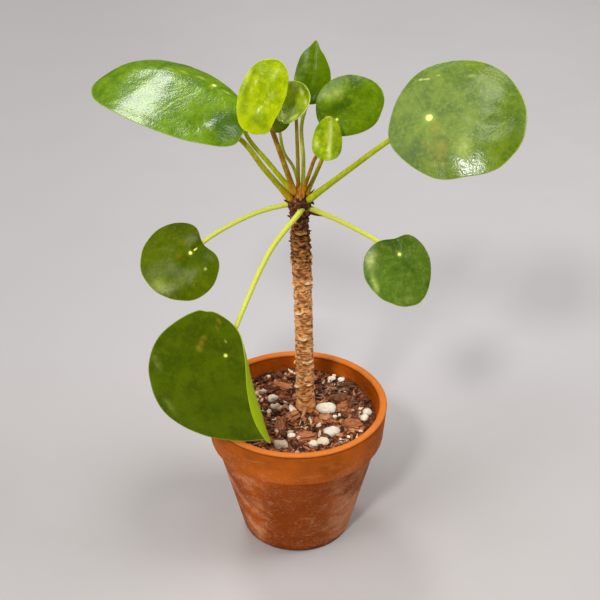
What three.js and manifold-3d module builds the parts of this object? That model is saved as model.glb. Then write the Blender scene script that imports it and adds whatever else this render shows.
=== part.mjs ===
// A pilea plant in a clay pot: a scarred woody trunk with a crown of twelve
// coin-shaped leaves, each on its own stalk, in a collared terracotta pot.
// Millimetres, +Z up, pot axis on Z, pot standing on z = 0, seen from -Y.
import * as THREE from "three";
import { mergeGeometries, mergeVertices } from "three/addons/utils/BufferGeometryUtils.js";
import Module from "manifold-3d";

const wasm = await Module();
wasm.setup();

// Clearance between neighbouring pieces
const GAP = 0.3;

// Pot
const POT_HEIGHT = 91.5;
const RIM_RADIUS = 55;
const COLLAR_FOOT_RADIUS = 52.9;
const COLLAR_HEIGHT = 23.4;
const BODY_TOP_RADIUS = 50.2;
const BASE_RADIUS = 33.6;
const BASE_ROUNDING = 2;
const COLLAR_ROUNDING = 0.8;
const LIP_ROUNDING = 1.5;
const ROUND_SHARE = 0.3;
const LIP_THICKNESS = 4.6;
const WALL_THICKNESS = 4.8;
const FLOOR_THICKNESS = 7;
const POT_SIDES = 48;
const DRAIN_HOLES = 3;
const DRAIN_RADIUS = 3.5;
const DRAIN_CIRCLE = 17;
const DRAIN_SIDES = 16;

// Potting mix
const SOIL_LEVEL = 81.5;
const SOIL_SIDES = 32;
const SOIL_ROWS = 12;
const SOIL_TOP_SHARE = 0.67;
const SOIL_RIPPLE = 0.9;
const CHIP_COUNT = 14;
const CHIP_THICKNESS = 4.6;
const STONE_COUNT = 12;
const STREWN_RADIUS = 41;

// Trunk
const TRUNK_FOOT = new THREE.Vector3(5.6, 6.2, 80);
const TRUNK_LEAN = -0.0265;
const TRUNK_BOTTOM = 62;
const TRUNK_RADIUS = 5.4;
const FOOT_FLARE = 0.9;
const FOOT_FLARE_HEIGHT = 16;
const TRUNK_SWELL = 0.45;
const TRUNK_SWELL_LEVEL = 190;
const TRUNK_SWELL_HEIGHT = 18;
const CROWN_FLARE_HEIGHT = 9;
const CROWN_BASE = 223;
const CROWN_RISE = 9.5;
const CROWN_RADIUS = 6.5;
const SCAR_PITCH = 6.6;
const SCAR_RELIEF = 0.75;
const TRUNK_SIDES = 12;
const TRUNK_ROWS = 75;
const STUB_SHARE = 0.04;
const DOME_SHARE = 0.08;
const HOLE_RADIUS = 7.1;
const HOLE_HEIGHT = 40;
const HOLE_SIDES = 20;

// Dry scales left on the crown: foot, tip and foot radius
const SCALES = [
  { foot: [-2.4, 5.4, 224.6], tip: [-7.6, 4.6, 226.4], radius: 1.5 },
  { foot: [5, 8.4, 226.4], tip: [10.6, 8.4, 231.6], radius: 1 },
  { foot: [3, 6.6, 218.9], tip: [15.6, 5.2, 214.4], radius: 0.9 },
];

// Bud: centre and half sizes
const BUD_CENTRE = [1.9, 1.9, 231.6];
const BUD_HALF = [2.3, 1.7, 5.6];

// Leaves
const BLADE_THICKNESS = 0.9;
const DIMPLE_DEPTH = 1;
const DIMPLE_RADIUS = 6;
const STALK_SIDES = 6;
const STALK_STEPS = 12;
const STALK_ROOT = 4;

// Colours
const TERRACOTTA = 0xb8652f;
const MIX = 0x4a3022;
const BARK = 0x9a7350;
const BUD = 0xa8682a;
const STALK = 0xaab23c;
const GREEN = 0x4f7a1e;
const DARK_GREEN = 0x3c6413;
const LIME = 0x9cbf1c;
const FRESH = 0x6f9f24;

// A repeatable stream of numbers from 0 to 1
function stream(seed) {
  let state = seed;
  return () => {
    state = (state + 0x6d2b79f5) | 0;
    let mixed = Math.imul(state ^ (state >>> 15), 1 | state);
    mixed = (mixed + Math.imul(mixed ^ (mixed >>> 7), 61 | mixed)) ^ mixed;
    return ((mixed ^ (mixed >>> 14)) >>> 0) / 4294967296;
  };
}

// Only positions, with shared corners merged
function closed(geometry) {
  const plain = geometry.clone();
  plain.deleteAttribute("normal");
  plain.deleteAttribute("uv");
  return mergeVertices(plain, 1e-3);
}

function toSolid(geometry) {
  const plain = closed(geometry);
  return new wasm.Manifold(new wasm.Mesh({
    numProp: 3,
    vertProperties: new Float32Array(plain.attributes.position.array),
    triVerts: new Uint32Array(plain.index.array),
  }));
}

function fromSolid(solid) {
  const mesh = solid.getMesh();
  const geometry = new THREE.BufferGeometry();
  geometry.setAttribute("position", new THREE.BufferAttribute(mesh.vertProperties, 3));
  geometry.setIndex(new THREE.BufferAttribute(mesh.triVerts, 1));
  return geometry;
}

// Keeps the widest shell alone: sealed hollows are filled and loose scraps dropped
function widestShell(geometry) {
  const plain = closed(geometry);
  const order = Array.from(plain.index.array);
  const parent = Array.from({ length: plain.attributes.position.count }, (_, i) => i);
  const root = (i) => {
    let top = i;
    while (parent[top] !== top) top = parent[top];
    parent[i] = top;
    return top;
  };
  for (let i = 0; i < order.length; i += 3) {
    parent[root(order[i + 1])] = root(order[i]);
    parent[root(order[i + 2])] = root(order[i]);
  }
  const boxes = new Map();
  const spot = new THREE.Vector3();
  parent.forEach((_, i) => {
    const shell = root(i);
    if (!boxes.has(shell)) boxes.set(shell, new THREE.Box3());
    boxes.get(shell).expandByPoint(spot.fromBufferAttribute(plain.attributes.position, i));
  });
  const span = (shell) => boxes.get(shell).getSize(new THREE.Vector3()).length();
  const widest = [...boxes.keys()].reduce((best, shell) => (span(shell) > span(best) ? shell : best));
  plain.setIndex(order.filter((_, i) => root(order[i - (i % 3)]) === widest));
  return plain;
}

// Moves every corner of a geometry to where the rule puts it
function reshape(geometry, rule) {
  const spots = geometry.attributes.position;
  for (let i = 0; i < spots.count; i += 1) {
    const moved = rule(spots.getX(i), spots.getY(i), spots.getZ(i));
    spots.setXYZ(i, moved.x, moved.y, moved.z);
  }
  return geometry;
}

// Pot walls: the inside follows the outside at one thickness
function bodyRadius(z) {
  const share = z / (POT_HEIGHT - COLLAR_HEIGHT);
  return BASE_RADIUS + (BODY_TOP_RADIUS - BASE_RADIUS) * share;
}

function innerRadius(z) {
  const lipInside = RIM_RADIUS - LIP_THICKNESS;
  const shoulder = POT_HEIGHT - COLLAR_HEIGHT;
  const below = bodyRadius(Math.min(z, shoulder)) - WALL_THICKNESS;
  const share = Math.max(0, (z - shoulder) / COLLAR_HEIGHT);
  return below + (lipInside - below) * share;
}

function potGeometry() {
  const shoulder = POT_HEIGHT - COLLAR_HEIGHT;
  const lipInside = RIM_RADIUS - LIP_THICKNESS;
  const profile = [
    [0, 0],
    [BASE_RADIUS - BASE_ROUNDING, 0],
    [BASE_RADIUS - BASE_ROUNDING * ROUND_SHARE, BASE_ROUNDING * ROUND_SHARE],
    [bodyRadius(BASE_ROUNDING), BASE_ROUNDING],
    [bodyRadius(shoulder - COLLAR_ROUNDING * 3), shoulder - COLLAR_ROUNDING * 3],
    [BODY_TOP_RADIUS + COLLAR_ROUNDING, shoulder - COLLAR_ROUNDING],
    [COLLAR_FOOT_RADIUS - COLLAR_ROUNDING, shoulder - COLLAR_ROUNDING * ROUND_SHARE],
    [COLLAR_FOOT_RADIUS, shoulder + COLLAR_ROUNDING],
    [RIM_RADIUS, POT_HEIGHT - LIP_ROUNDING],
    [RIM_RADIUS - LIP_ROUNDING * ROUND_SHARE, POT_HEIGHT - LIP_ROUNDING * ROUND_SHARE],
    [RIM_RADIUS - LIP_ROUNDING, POT_HEIGHT],
    [lipInside + LIP_ROUNDING, POT_HEIGHT],
    [lipInside + LIP_ROUNDING * ROUND_SHARE, POT_HEIGHT - LIP_ROUNDING * ROUND_SHARE],
    [lipInside, POT_HEIGHT - LIP_ROUNDING],
    [innerRadius(shoulder), shoulder],
    [innerRadius(FLOOR_THICKNESS + BASE_ROUNDING), FLOOR_THICKNESS + BASE_ROUNDING],
    [innerRadius(FLOOR_THICKNESS) - BASE_ROUNDING, FLOOR_THICKNESS],
    [0, FLOOR_THICKNESS],
  ];
  const lathe = new THREE.LatheGeometry(profile.map(([r, z]) => new THREE.Vector2(r, z)), POT_SIDES);
  lathe.rotateX(Math.PI / 2);
  let pot = toSolid(lathe);
  for (let i = 0; i < DRAIN_HOLES; i += 1) {
    const around = (i * 2 * Math.PI) / DRAIN_HOLES + Math.PI / 6;
    const drill = new THREE.CylinderGeometry(DRAIN_RADIUS, DRAIN_RADIUS, FLOOR_THICKNESS * 3, DRAIN_SIDES);
    drill.rotateX(Math.PI / 2);
    drill.translate(DRAIN_CIRCLE * Math.cos(around), DRAIN_CIRCLE * Math.sin(around), 0);
    pot = pot.subtract(toSolid(drill));
  }
  return fromSolid(pot);
}

// Gentle rise and fall of the potting mix
function soilTop(x, y) {
  const wide = Math.sin(x * 0.11 + 1.3) * Math.cos(y * 0.13 - 0.4);
  const fine = Math.sin(x * 0.47 - y * 0.31) * Math.sin(y * 0.53 + x * 0.22 + 2);
  return SOIL_LEVEL + SOIL_RIPPLE * (wide + 0.7 * fine);
}

function soilBed() {
  const cone = new THREE.ConeGeometry(1, 1, SOIL_SIDES, SOIL_ROWS);
  const floor = FLOOR_THICKNESS + GAP;
  return reshape(cone, (x, y, z) => {
    const down = 0.5 - y;
    const reach = Math.hypot(x, z);
    const around = Math.atan2(-z, x);
    const edge = innerRadius(SOIL_LEVEL) - GAP;
    let radius = Math.min(1, down / SOIL_TOP_SHARE) * edge;
    let height = soilTop(radius * Math.cos(around), radius * Math.sin(around));
    if (down > SOIL_TOP_SHARE) {
      const sunk = (down - SOIL_TOP_SHARE) / (1 - SOIL_TOP_SHARE);
      height += (floor - height) * sunk;
      radius = innerRadius(height) - GAP - 1.6 * sunk ** 6;
    }
    if (reach < 1e-6 && down > 0.5) {
      radius = 0;
      height = floor;
    }
    return new THREE.Vector3(radius * Math.cos(around), radius * Math.sin(around), height);
  });
}

// Bark chips and stones that are seen in the pot: x, y, length, width, turn in degrees
const SEEN_CHIPS = [
  [27, 15, 15, 8, 10],
  [28, 5, 9, 8, 70],
  [-9, 27, 14, 7, -30],
  [5, -24, 13, 9, 20],
  [34, -15, 13, 9, -15],
  [33, -4, 12, 5, -20],
  [31, 26, 12, 5, 15],
  [-10, -14, 17, 6, 85],
  [-3, -4, 8, 7, 40],
  [16, -7, 11, 9, 0],
];
const SEEN_STONES = [
  [18, 3, 6, 3.6],
  [-15, 15, 3.4, 2.4],
  [-13, 7, 3.2, 2],
  [-7, 5, 2.2, 2.2],
  [-9, -32, 4.2, 3.2],
  [-3, -22, 2.6, 2],
  [10, -31, 2.6, 2.8],
  [21, -20, 5, 3.4],
  [16, -29, 4, 2.6],
  [43, 1, 3, 2.6],
  [41, -6, 2.8, 2.4],
  [22, 36, 2.8, 2.4],
  [28, 34, 2.2, 2],
];

function chipSolid(draw, x, y, length, width, turn) {
  const chip = new THREE.BoxGeometry(length, width, CHIP_THICKNESS);
  reshape(chip, (px, py, pz) => {
    const key = Math.sign(px) * 1.7 + Math.sign(py) * 2.9 + Math.sign(pz) * 0.6 + x;
    const pinch = 0.78 + 0.22 * Math.sin(key * 3.1);
    return new THREE.Vector3(px * pinch, py * (0.8 + 0.2 * Math.cos(key * 2.3)), pz);
  });
  chip.rotateX((draw() - 0.5) * 0.3);
  chip.rotateY((draw() - 0.5) * 0.3);
  chip.rotateZ(THREE.MathUtils.degToRad(turn));
  chip.translate(x, y, soilTop(x, y) + 0.5);
  return toSolid(chip);
}

function stoneSolid(draw, x, y, long, wide) {
  const stone = new THREE.IcosahedronGeometry(1, 0);
  stone.scale(long, wide, (long + wide) * 0.42);
  stone.rotateZ(draw() * Math.PI);
  stone.translate(x, y, soilTop(x, y) + 0.25 * wide);
  return toSolid(stone);
}

// One body: the bed with chips and stones sunk into it, and a hole for the trunk
function soilGeometry() {
  const draw = stream(11);
  let soil = toSolid(soilBed());
  const clear = HOLE_RADIUS + CHIP_THICKNESS;
  const clearOfTrunk = (x, y) => Math.hypot(x - TRUNK_FOOT.x, y - TRUNK_FOOT.y) > clear;
  SEEN_CHIPS.forEach(([x, y, length, width, turn]) => {
    soil = soil.add(chipSolid(draw, x, y, length, width, turn));
  });
  SEEN_STONES.forEach(([x, y, long, wide]) => {
    soil = soil.add(stoneSolid(draw, x, y, long, wide));
  });
  for (let i = 0; i < CHIP_COUNT + STONE_COUNT; i += 1) {
    const radius = STREWN_RADIUS * Math.sqrt(draw());
    const around = draw() * 2 * Math.PI;
    const x = radius * Math.cos(around);
    const y = radius * Math.sin(around);
    const size = draw();
    if (clearOfTrunk(x, y)) {
      soil = soil.add(i < CHIP_COUNT
        ? chipSolid(draw, x, y, 6 + 6 * size, 4 + 3 * size, draw() * 180)
        : stoneSolid(draw, x, y, 1.5 + 1.2 * size, 1.3 + 1 * size));
    }
  }
  const inside = new THREE.LatheGeometry([
    [0, FLOOR_THICKNESS + GAP],
    [innerRadius(FLOOR_THICKNESS) - 2, FLOOR_THICKNESS + GAP],
    [innerRadius(SOIL_LEVEL - 10) - GAP, SOIL_LEVEL - 10],
    [innerRadius(POT_HEIGHT) - GAP * 2, POT_HEIGHT],
    [0, POT_HEIGHT],
  ].map(([r, z]) => new THREE.Vector2(r, z)), POT_SIDES);
  inside.rotateX(Math.PI / 2);
  const hole = new THREE.CylinderGeometry(HOLE_RADIUS, HOLE_RADIUS, HOLE_HEIGHT, HOLE_SIDES);
  hole.rotateX(Math.PI / 2);
  hole.translate(TRUNK_FOOT.x, TRUNK_FOOT.y, TRUNK_BOTTOM - GAP + HOLE_HEIGHT / 2);
  return widestShell(fromSolid(soil.intersect(toSolid(inside)).subtract(toSolid(hole))));
}

// Trunk axis: a slight lean and sway
function trunkAxis(z) {
  const up = z - TRUNK_FOOT.z;
  const sway = 0.25 * Math.sin(up * 0.05 - 1.9) * Math.min(1, Math.max(0, up / 20));
  return new THREE.Vector3(TRUNK_FOOT.x + TRUNK_LEAN * up + sway, TRUNK_FOOT.y, z);
}

function trunkRadius(z) {
  const flare = FOOT_FLARE * Math.exp(-Math.max(0, z - SOIL_LEVEL) / FOOT_FLARE_HEIGHT);
  const swell = TRUNK_SWELL * Math.exp(-(((z - TRUNK_SWELL_LEVEL) / TRUNK_SWELL_HEIGHT) ** 2));
  const crown = THREE.MathUtils.smoothstep(z, CROWN_BASE - CROWN_FLARE_HEIGHT, CROWN_BASE);
  return THREE.MathUtils.lerp(TRUNK_RADIUS + flare + swell, CROWN_RADIUS, crown);
}

// Old leaf scars: crescents that climb round the trunk in uneven steps
function scarRelief(z, around) {
  const fade = Math.min(1, Math.max(0, (z - 84) / 6)) * Math.min(1, Math.max(0, (CROWN_BASE - z) / 4));
  const climb = z / SCAR_PITCH + 0.32 * Math.sin(around + z * 0.07) + 0.2 * Math.sin(2 * around - z * 0.19);
  const ridge = Math.abs(Math.cos(Math.PI * climb)) ** 3;
  const knobbly = 0.4 + 0.7 * THREE.MathUtils.smoothstep(z, CROWN_BASE - 45, CROWN_BASE - 20);
  const lump = knobbly * Math.sin(3 * around + z * 0.83) * Math.sin(z * 0.57 + around);
  return SCAR_RELIEF * fade * (ridge - 0.5 + lump);
}

function trunkGeometry(swollen = 0) {
  const cone = new THREE.ConeGeometry(1, 1, TRUNK_SIDES, TRUNK_ROWS);
  return reshape(cone, (x, y, z) => {
    const up = y + 0.5;
    const around = Math.atan2(-z, x);
    const onSide = Math.hypot(x, z) > 1e-6;
    let height;
    let radius;
    if (up < STUB_SHARE) {
      height = THREE.MathUtils.lerp(TRUNK_BOTTOM, TRUNK_FOOT.z, up / STUB_SHARE);
      radius = trunkRadius(height);
    } else if (up < 1 - DOME_SHARE) {
      const share = (up - STUB_SHARE) / (1 - DOME_SHARE - STUB_SHARE);
      height = THREE.MathUtils.lerp(TRUNK_FOOT.z, CROWN_BASE, share);
      radius = trunkRadius(height) + scarRelief(height, around);
    } else {
      const turn = ((up - 1 + DOME_SHARE) / DOME_SHARE) * (Math.PI / 2);
      height = CROWN_BASE + (CROWN_RISE + swollen) * Math.sin(turn);
      radius = CROWN_RADIUS * Math.cos(turn);
    }
    radius = onSide ? radius + swollen * Math.min(1, radius) : 0;
    const axis = trunkAxis(Math.min(height, CROWN_BASE));
    return new THREE.Vector3(axis.x + radius * Math.cos(around), axis.y + radius * Math.sin(around), height);
  });
}

// The trunk with its dry scales grown to it
function scaledTrunk(swollen = 0) {
  return SCALES.reduce((trunk, { foot, tip, radius }) => {
    const [from, to] = [new THREE.Vector3(...foot), new THREE.Vector3(...tip)];
    const scale = new THREE.ConeGeometry(radius + swollen, from.distanceTo(to) + swollen, 6);
    scale.translate(0, (from.distanceTo(to) + swollen) / 2, 0);
    scale.applyQuaternion(new THREE.Quaternion().setFromUnitVectors(
      new THREE.Vector3(0, 1, 0),
      to.sub(from).normalize(),
    ));
    scale.translate(...foot);
    return trunk.add(toSolid(scale));
  }, toSolid(trunkGeometry(swollen)));
}

// Brown sheath of the growing point, wrapped round by the stalks at the front of the crown
function budGeometry(trunkCutter) {
  const bud = new THREE.SphereGeometry(1, 10, 8);
  bud.scale(...BUD_HALF);
  bud.translate(...BUD_CENTRE);
  return widestShell(fromSolid(Object.values(LEAVES).reduce(
    (left, leaf) => left.subtract(stalkTube(leaf, GAP)),
    toSolid(bud).subtract(trunkCutter),
  )));
}

// Every leaf: where its stalk joins the blade, the way the upper face looks
// (compass angle and height in degrees), the turn of its tip in that plane,
// its length, the half widths left and right of the midrib, how far the middle
// lies ahead of the joint, and its bends as direction, start and radius
// (a negative radius droops, a positive one curls up).
// Its stalk: thick and thin radius, and the points it passes through.
const LEAVES = {
  right_round: {
    at: [69.7, -14, 284.5], facing: [-119, 47], turn: 12, length: 71.8, left: 34.6, right: 34.2, ahead: 15.5,
    bends: [[90, 10, -113], [270, 10, -67], [0, 10, -91]], colour: GREEN, rings: 5, spokes: 32,
    stalk: [1.6, 1.15, [7.2, 2.5, 227.7], [29.2, -3, 249], [50.5, -9, 269.4]],
  },
  left_dome: {
    at: [-49.6, 0, 276], facing: [-89, 68], turn: 145, length: 95.4, left: 21.8, right: 36.7, ahead: 25,
    egg: -0.14, tip: 6.5, sharp: 4, bends: [[90, 5, 144], [270, 15, -35], [0, 20, -123], [180, 8, -54]],
    colour: GREEN, rings: 5, spokes: 32,
    stalk: [1.6, 1.15, [-4.2, 2.5, 229], [-17.6, 1.5, 246.8], [-31, 1, 265.4]],
  },
  hanging: {
    at: [-39.5, -45, 154.4], facing: [-95, 8], turn: 297, length: 86.2, left: 16.5, right: 51, ahead: 11.8,
    tip: 3.8, sharp: 6, wave: 1.6, phase: -0.6, bends: [[76, 6.9, 5.4], [270, 5, -145]],
    colour: DARK_GREEN, rings: 7, spokes: 36,
    stalk: [1.6, 1.15, [2.3, 0.3, 225.9], [0, -3, 223], [-14, -12, 204], [-28.8, -26, 176]],
  },
  low_left: {
    at: [-59.5, -10, 200.5], facing: [-95, 41], turn: 219, length: 42.6, left: 23.9, right: 22.1, ahead: 7.2,
    notch: 5.3, bends: [[90, 6, -80], [270, 6, -80]], colour: GREEN, rings: 4, spokes: 28,
    stalk: [1.3, 1.05, [-4.8, 6.5, 222.5], [-23.3, 4, 218], [-47, -1, 206.8]],
  },
  low_right: {
    at: [57.8, -10, 199.6], facing: [-81, 41], turn: -80, length: 42.4, left: 15.6, right: 22, ahead: 8.7,
    egg: 0.13, notch: 3.2, wave: -1.1, phase: 0.8, bends: [[90, 6, -83], [270, 6, -79]],
    colour: GREEN, rings: 4, spokes: 28,
    stalk: [1.35, 1.05, [7.3, 6.5, 220], [24.5, 3, 213.5], [42.5, -1.5, 205.3]],
  },
  lime: {
    at: [-17.8, -18, 294.2], facing: [-96, 21], turn: 250, length: 41.6, left: 10.4, right: 13.8, ahead: -2.8,
    egg: 0.09, tip: -1.1, bends: [[90, 3, -32], [270, 3, -46]], colour: LIME, rings: 4, spokes: 24,
    stalk: [1.5, 1.1, [-1.6, 1.2, 233.6], [-7.3, -4, 254.8], [-12.9, -10, 275.3]],
  },
  right_young: {
    at: [21.9, 2, 276.3], facing: [-79, 40], turn: 28, length: 39.9, left: 20, right: 12.6, ahead: 10.2,
    bends: [[86, 5, -55], [274, 5, -48]], colour: FRESH, rings: 4, spokes: 24,
    stalk: [1.2, 0.95, [6.4, 5, 231.7], [10.3, 5, 241.3], [14, 4.5, 251]],
  },
  pointed: {
    at: [7.4, 14, 285.1], facing: [-91, 27], turn: 84, length: 30.5, left: 9.7, right: 10.4, ahead: 10.3,
    egg: 0.24, tip: 1.9, sharp: 6, bends: [[90, 1, -25], [270, 1, -25]], colour: GREEN, rings: 4, spokes: 24,
    stalk: [1.15, 0.9, [3.6, 8.5, 232.8], [3.8, 10.5, 248], [2.9, 13, 268.4]],
  },
  cup: {
    at: [-0.7, -5, 287.4], facing: [-128, 31], turn: 54, length: 20.3, left: 12.5, right: 9.7, ahead: -0.6,
    bends: [[90, 3, 20], [270, 3, 20]], colour: FRESH, rings: 4, spokes: 20,
    stalk: [1.05, 0.85, [1, 5, 234.8], [0.8, 2, 249], [0.2, -2.5, 272]],
  },
  folded: {
    at: [16.3, -16, 267.6], facing: [-89, 12], turn: 87, length: 22.2, left: 8.6, right: 8.8, ahead: 5,
    egg: 0.29, tip: 1, sharp: 6, bends: [[90, 0.5, -9], [270, 0.5, -9]], colour: LIME, rings: 4, spokes: 20,
    stalk: [1.05, 0.85, [4.4, 2.2, 234.9], [7, -2, 245.5], [10.8, -8, 259.2]],
  },
  shaded: {
    at: [-10.1, 6, 273.9], facing: [-110, 25], turn: 250, length: 20, left: 9, right: 9, ahead: 2,
    bends: [[90, 2, -20], [270, 2, -20]], colour: DARK_GREEN, rings: 3, spokes: 20,
    stalk: [0.9, 0.75, [1.4, 10.8, 231.3], [-1.6, 12, 242.5], [-6.9, 9.5, 253.2]],
  },
  rear: {
    at: [-32.2, 24, 269.3], facing: [110, 58], turn: 20, length: 30, left: 13.5, right: 13.5, ahead: 4,
    bends: [[90, 3, -40], [270, 3, -40]], colour: GREEN, rings: 4, spokes: 24,
    stalk: [1.4, 1, [-3.9, 10.5, 230.5], [-15.4, 15, 243.8], [-26.8, 19.5, 257]],
  },
};

// Axes of a blade: out of the upper face, towards the tip, and to its left
function bladeAxes(leaf) {
  const [compass, height] = leaf.facing.map(THREE.MathUtils.degToRad);
  const turn = THREE.MathUtils.degToRad(leaf.turn);
  const out = new THREE.Vector3(
    Math.cos(height) * Math.cos(compass),
    Math.cos(height) * Math.sin(compass),
    Math.sin(height),
  );
  const level = new THREE.Vector3(-Math.sin(compass), Math.cos(compass), 0);
  const uphill = new THREE.Vector3().crossVectors(out, level);
  const ahead = level.multiplyScalar(Math.cos(turn)).addScaledVector(uphill, Math.sin(turn));
  const left = new THREE.Vector3().crossVectors(out, ahead);
  return { out, ahead, left };
}

// Flat outline: an oval with its own two half widths, drawn out to a tip ahead
// and drawn in to a notch behind
function bladeOutline(leaf, around) {
  const along = Math.cos(around);
  const across = Math.sin(around);
  const half = across > 0 ? leaf.left : leaf.right;
  const behind = Math.abs(Math.atan2(Math.sin(around - Math.PI), Math.cos(around - Math.PI)));
  const u = (leaf.length / 2) * along
    + (leaf.tip ?? 0) * Math.max(0, along) ** (leaf.sharp ?? 10)
    + (leaf.notch ?? 0) * Math.exp(-((behind / 0.35) ** 2))
    + leaf.ahead;
  return [u, half * across * (1 - (leaf.egg ?? 0) * along)];
}

// Height of the blade over its plane before it is bent: waved edge and dimple
function bladeHeight(leaf, u, v) {
  const reach = Math.hypot(u, v);
  const wave = (leaf.wave ?? 0) * (reach / (leaf.length / 2)) ** 2
    * Math.sin(3 * Math.atan2(v, u) + (leaf.phase ?? 0));
  return wave - DIMPLE_DEPTH * Math.exp(-((reach / DIMPLE_RADIUS) ** 2));
}

// Rolls what lies past the start of a bend round a cylinder of its radius
function bladeSpot(leaf, u, v) {
  let [a, b, h] = [u, v, bladeHeight(leaf, u, v)];
  leaf.bends.forEach(([direction, start, radius]) => {
    const angle = THREE.MathUtils.degToRad(direction);
    const along = a * Math.cos(angle) + b * Math.sin(angle);
    const aside = -a * Math.sin(angle) + b * Math.cos(angle);
    if (along > start) {
      const rolled = (along - start) / radius;
      const bent = start + (radius - h) * Math.sin(rolled);
      h = radius - (radius - h) * Math.cos(rolled);
      a = bent * Math.cos(angle) - aside * Math.sin(angle);
      b = bent * Math.sin(angle) + aside * Math.cos(angle);
    }
  });
  const axes = bladeAxes(leaf);
  return new THREE.Vector3(...leaf.at)
    .addScaledVector(axes.ahead, a)
    .addScaledVector(axes.left, b)
    .addScaledVector(axes.out, h);
}

function bladeNormal(leaf, u, v) {
  const step = 0.05;
  const along = bladeSpot(leaf, u + step, v).sub(bladeSpot(leaf, u - step, v));
  const across = bladeSpot(leaf, u, v + step).sub(bladeSpot(leaf, u, v - step));
  return along.cross(across).normalize();
}

// A blade with its lower face at one height off the middle and its upper face
// at another: the same web of triangles on both, closed by a rim
function bladeGeometry(leaf, lower, upper) {
  const settle = (side) => (x, y, z) => {
    const reach = Math.min(1, Math.hypot(x, z));
    const [u, v] = bladeOutline(leaf, Math.atan2(-z, x)).map((edge) => edge * reach);
    return bladeSpot(leaf, u, v).addScaledVector(bladeNormal(leaf, u, v), side(y));
  };
  const web = () => new THREE.ConeGeometry(1, 1, leaf.spokes, leaf.rings, true);
  const top = reshape(web(), settle(() => upper));
  const bottom = reshape(web(), settle(() => lower));
  const order = bottom.index.array;
  for (let i = 0; i < order.length; i += 3) {
    [order[i], order[i + 1]] = [order[i + 1], order[i]];
  }
  const rim = new THREE.CylinderGeometry(1, 1, 1, leaf.spokes, 1, true);
  reshape(rim, settle((y) => (y > 0 ? upper : lower)));
  return closed(mergeGeometries([top, bottom, rim]));
}

// A stalk: a tube along its points, rooted in the crown and thinner towards the blade
function stalkTube(leaf, swollen = 0) {
  const [thick, thin, ...stops] = leaf.stalk;
  const points = stops.map((stop) => new THREE.Vector3(...stop));
  const start = points[0].clone().add(points[0].clone().sub(points[1]).setLength(STALK_ROOT + swollen));
  const path = new THREE.CatmullRomCurve3([start, ...points.slice(1), bladeSpot(leaf, 0, 0)]);
  const round = new THREE.Shape(Array.from({ length: STALK_SIDES }, (_, i) => {
    const around = (i * 2 * Math.PI) / STALK_SIDES;
    return new THREE.Vector2(Math.cos(around), Math.sin(around));
  }));
  const along = { steps: STALK_STEPS, extrudePath: path, bevelEnabled: false };
  const tube = new THREE.ExtrudeGeometry(round, along);
  const spine = path.getSpacedPoints(STALK_STEPS);
  reshape(tube, (x, y, z) => {
    const spot = new THREE.Vector3(x, y, z);
    const gaps = spine.map((centre) => centre.distanceTo(spot));
    const nearest = gaps.indexOf(Math.min(...gaps));
    const radius = THREE.MathUtils.lerp(thick, thin, nearest / STALK_STEPS) + swollen;
    return spot.sub(spine[nearest]).multiplyScalar(radius).add(spine[nearest]);
  });
  return toSolid(tube);
}

// It stops short of the crown below and of the blade above
function stalkGeometry(leaf, trunkCutter) {
  const bladeCutter = toSolid(bladeGeometry(leaf, -BLADE_THICKNESS / 2 - GAP, STALK_ROOT));
  return widestShell(fromSolid(stalkTube(leaf).subtract(trunkCutter).subtract(bladeCutter)));
}

function finish(colour, roughness) {
  return new THREE.MeshStandardMaterial({ color: colour, roughness, metalness: 0 });
}

const plant = new THREE.Group();

function addPiece(name, geometry, material) {
  const mesh = new THREE.Mesh(closed(geometry), material);
  mesh.geometry.computeVertexNormals();
  mesh.name = name;
  plant.add(mesh);
}

const trunkCutter = scaledTrunk(GAP);
addPiece("pot", potGeometry(), finish(TERRACOTTA, 0.85));
addPiece("soil", soilGeometry(), finish(MIX, 0.95));
addPiece("trunk", fromSolid(scaledTrunk()), finish(BARK, 0.85));
addPiece("bud", budGeometry(trunkCutter), finish(BUD, 0.6));
Object.entries(LEAVES).forEach(([name, leaf]) => {
  addPiece(`stalk_${name}`, stalkGeometry(leaf, trunkCutter), finish(STALK, 0.45));
  const blade = bladeGeometry(leaf, -BLADE_THICKNESS / 2, BLADE_THICKNESS / 2);
  addPiece(`leaf_${name}`, blade, finish(leaf.colour, 0.35));
});

export default plant;
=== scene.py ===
# %% [markdown]
# A pilea plant in a clay pot. The real plant is a bare, scarred trunk with a crown of round
# leaves, each held at its middle by its own stalk. The pot is unglazed clay with a pale bloom,
# filled with a coarse mix of bark, grit and fibre.
# The CAD model says where each piece is and how big. Here each piece is made once more, finer,
# from the same rules, and given its finish. All sizes are in millimetres until a piece is placed.

# %% Start
import math
import random

import bmesh
import bpy
from mathutils import Matrix, Vector, noise


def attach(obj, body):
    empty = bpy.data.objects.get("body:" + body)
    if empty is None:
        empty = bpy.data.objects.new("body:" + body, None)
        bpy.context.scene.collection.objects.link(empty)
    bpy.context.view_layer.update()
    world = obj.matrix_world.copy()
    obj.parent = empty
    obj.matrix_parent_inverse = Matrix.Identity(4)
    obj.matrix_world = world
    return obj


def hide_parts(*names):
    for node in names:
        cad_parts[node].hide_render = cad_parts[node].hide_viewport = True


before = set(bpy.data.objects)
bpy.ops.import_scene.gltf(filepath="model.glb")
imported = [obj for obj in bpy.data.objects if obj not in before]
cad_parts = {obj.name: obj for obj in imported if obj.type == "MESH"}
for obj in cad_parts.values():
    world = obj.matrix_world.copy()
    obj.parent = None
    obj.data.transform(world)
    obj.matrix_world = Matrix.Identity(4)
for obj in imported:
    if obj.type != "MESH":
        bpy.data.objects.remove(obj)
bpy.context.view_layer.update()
MM = 0.001

# %% [markdown]
# The camera stands in front of the plant and looks down on it, far enough away for a long lens,
# so the rim of the pot is a calm oval. It comes first, because everything is judged through it.

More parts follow.
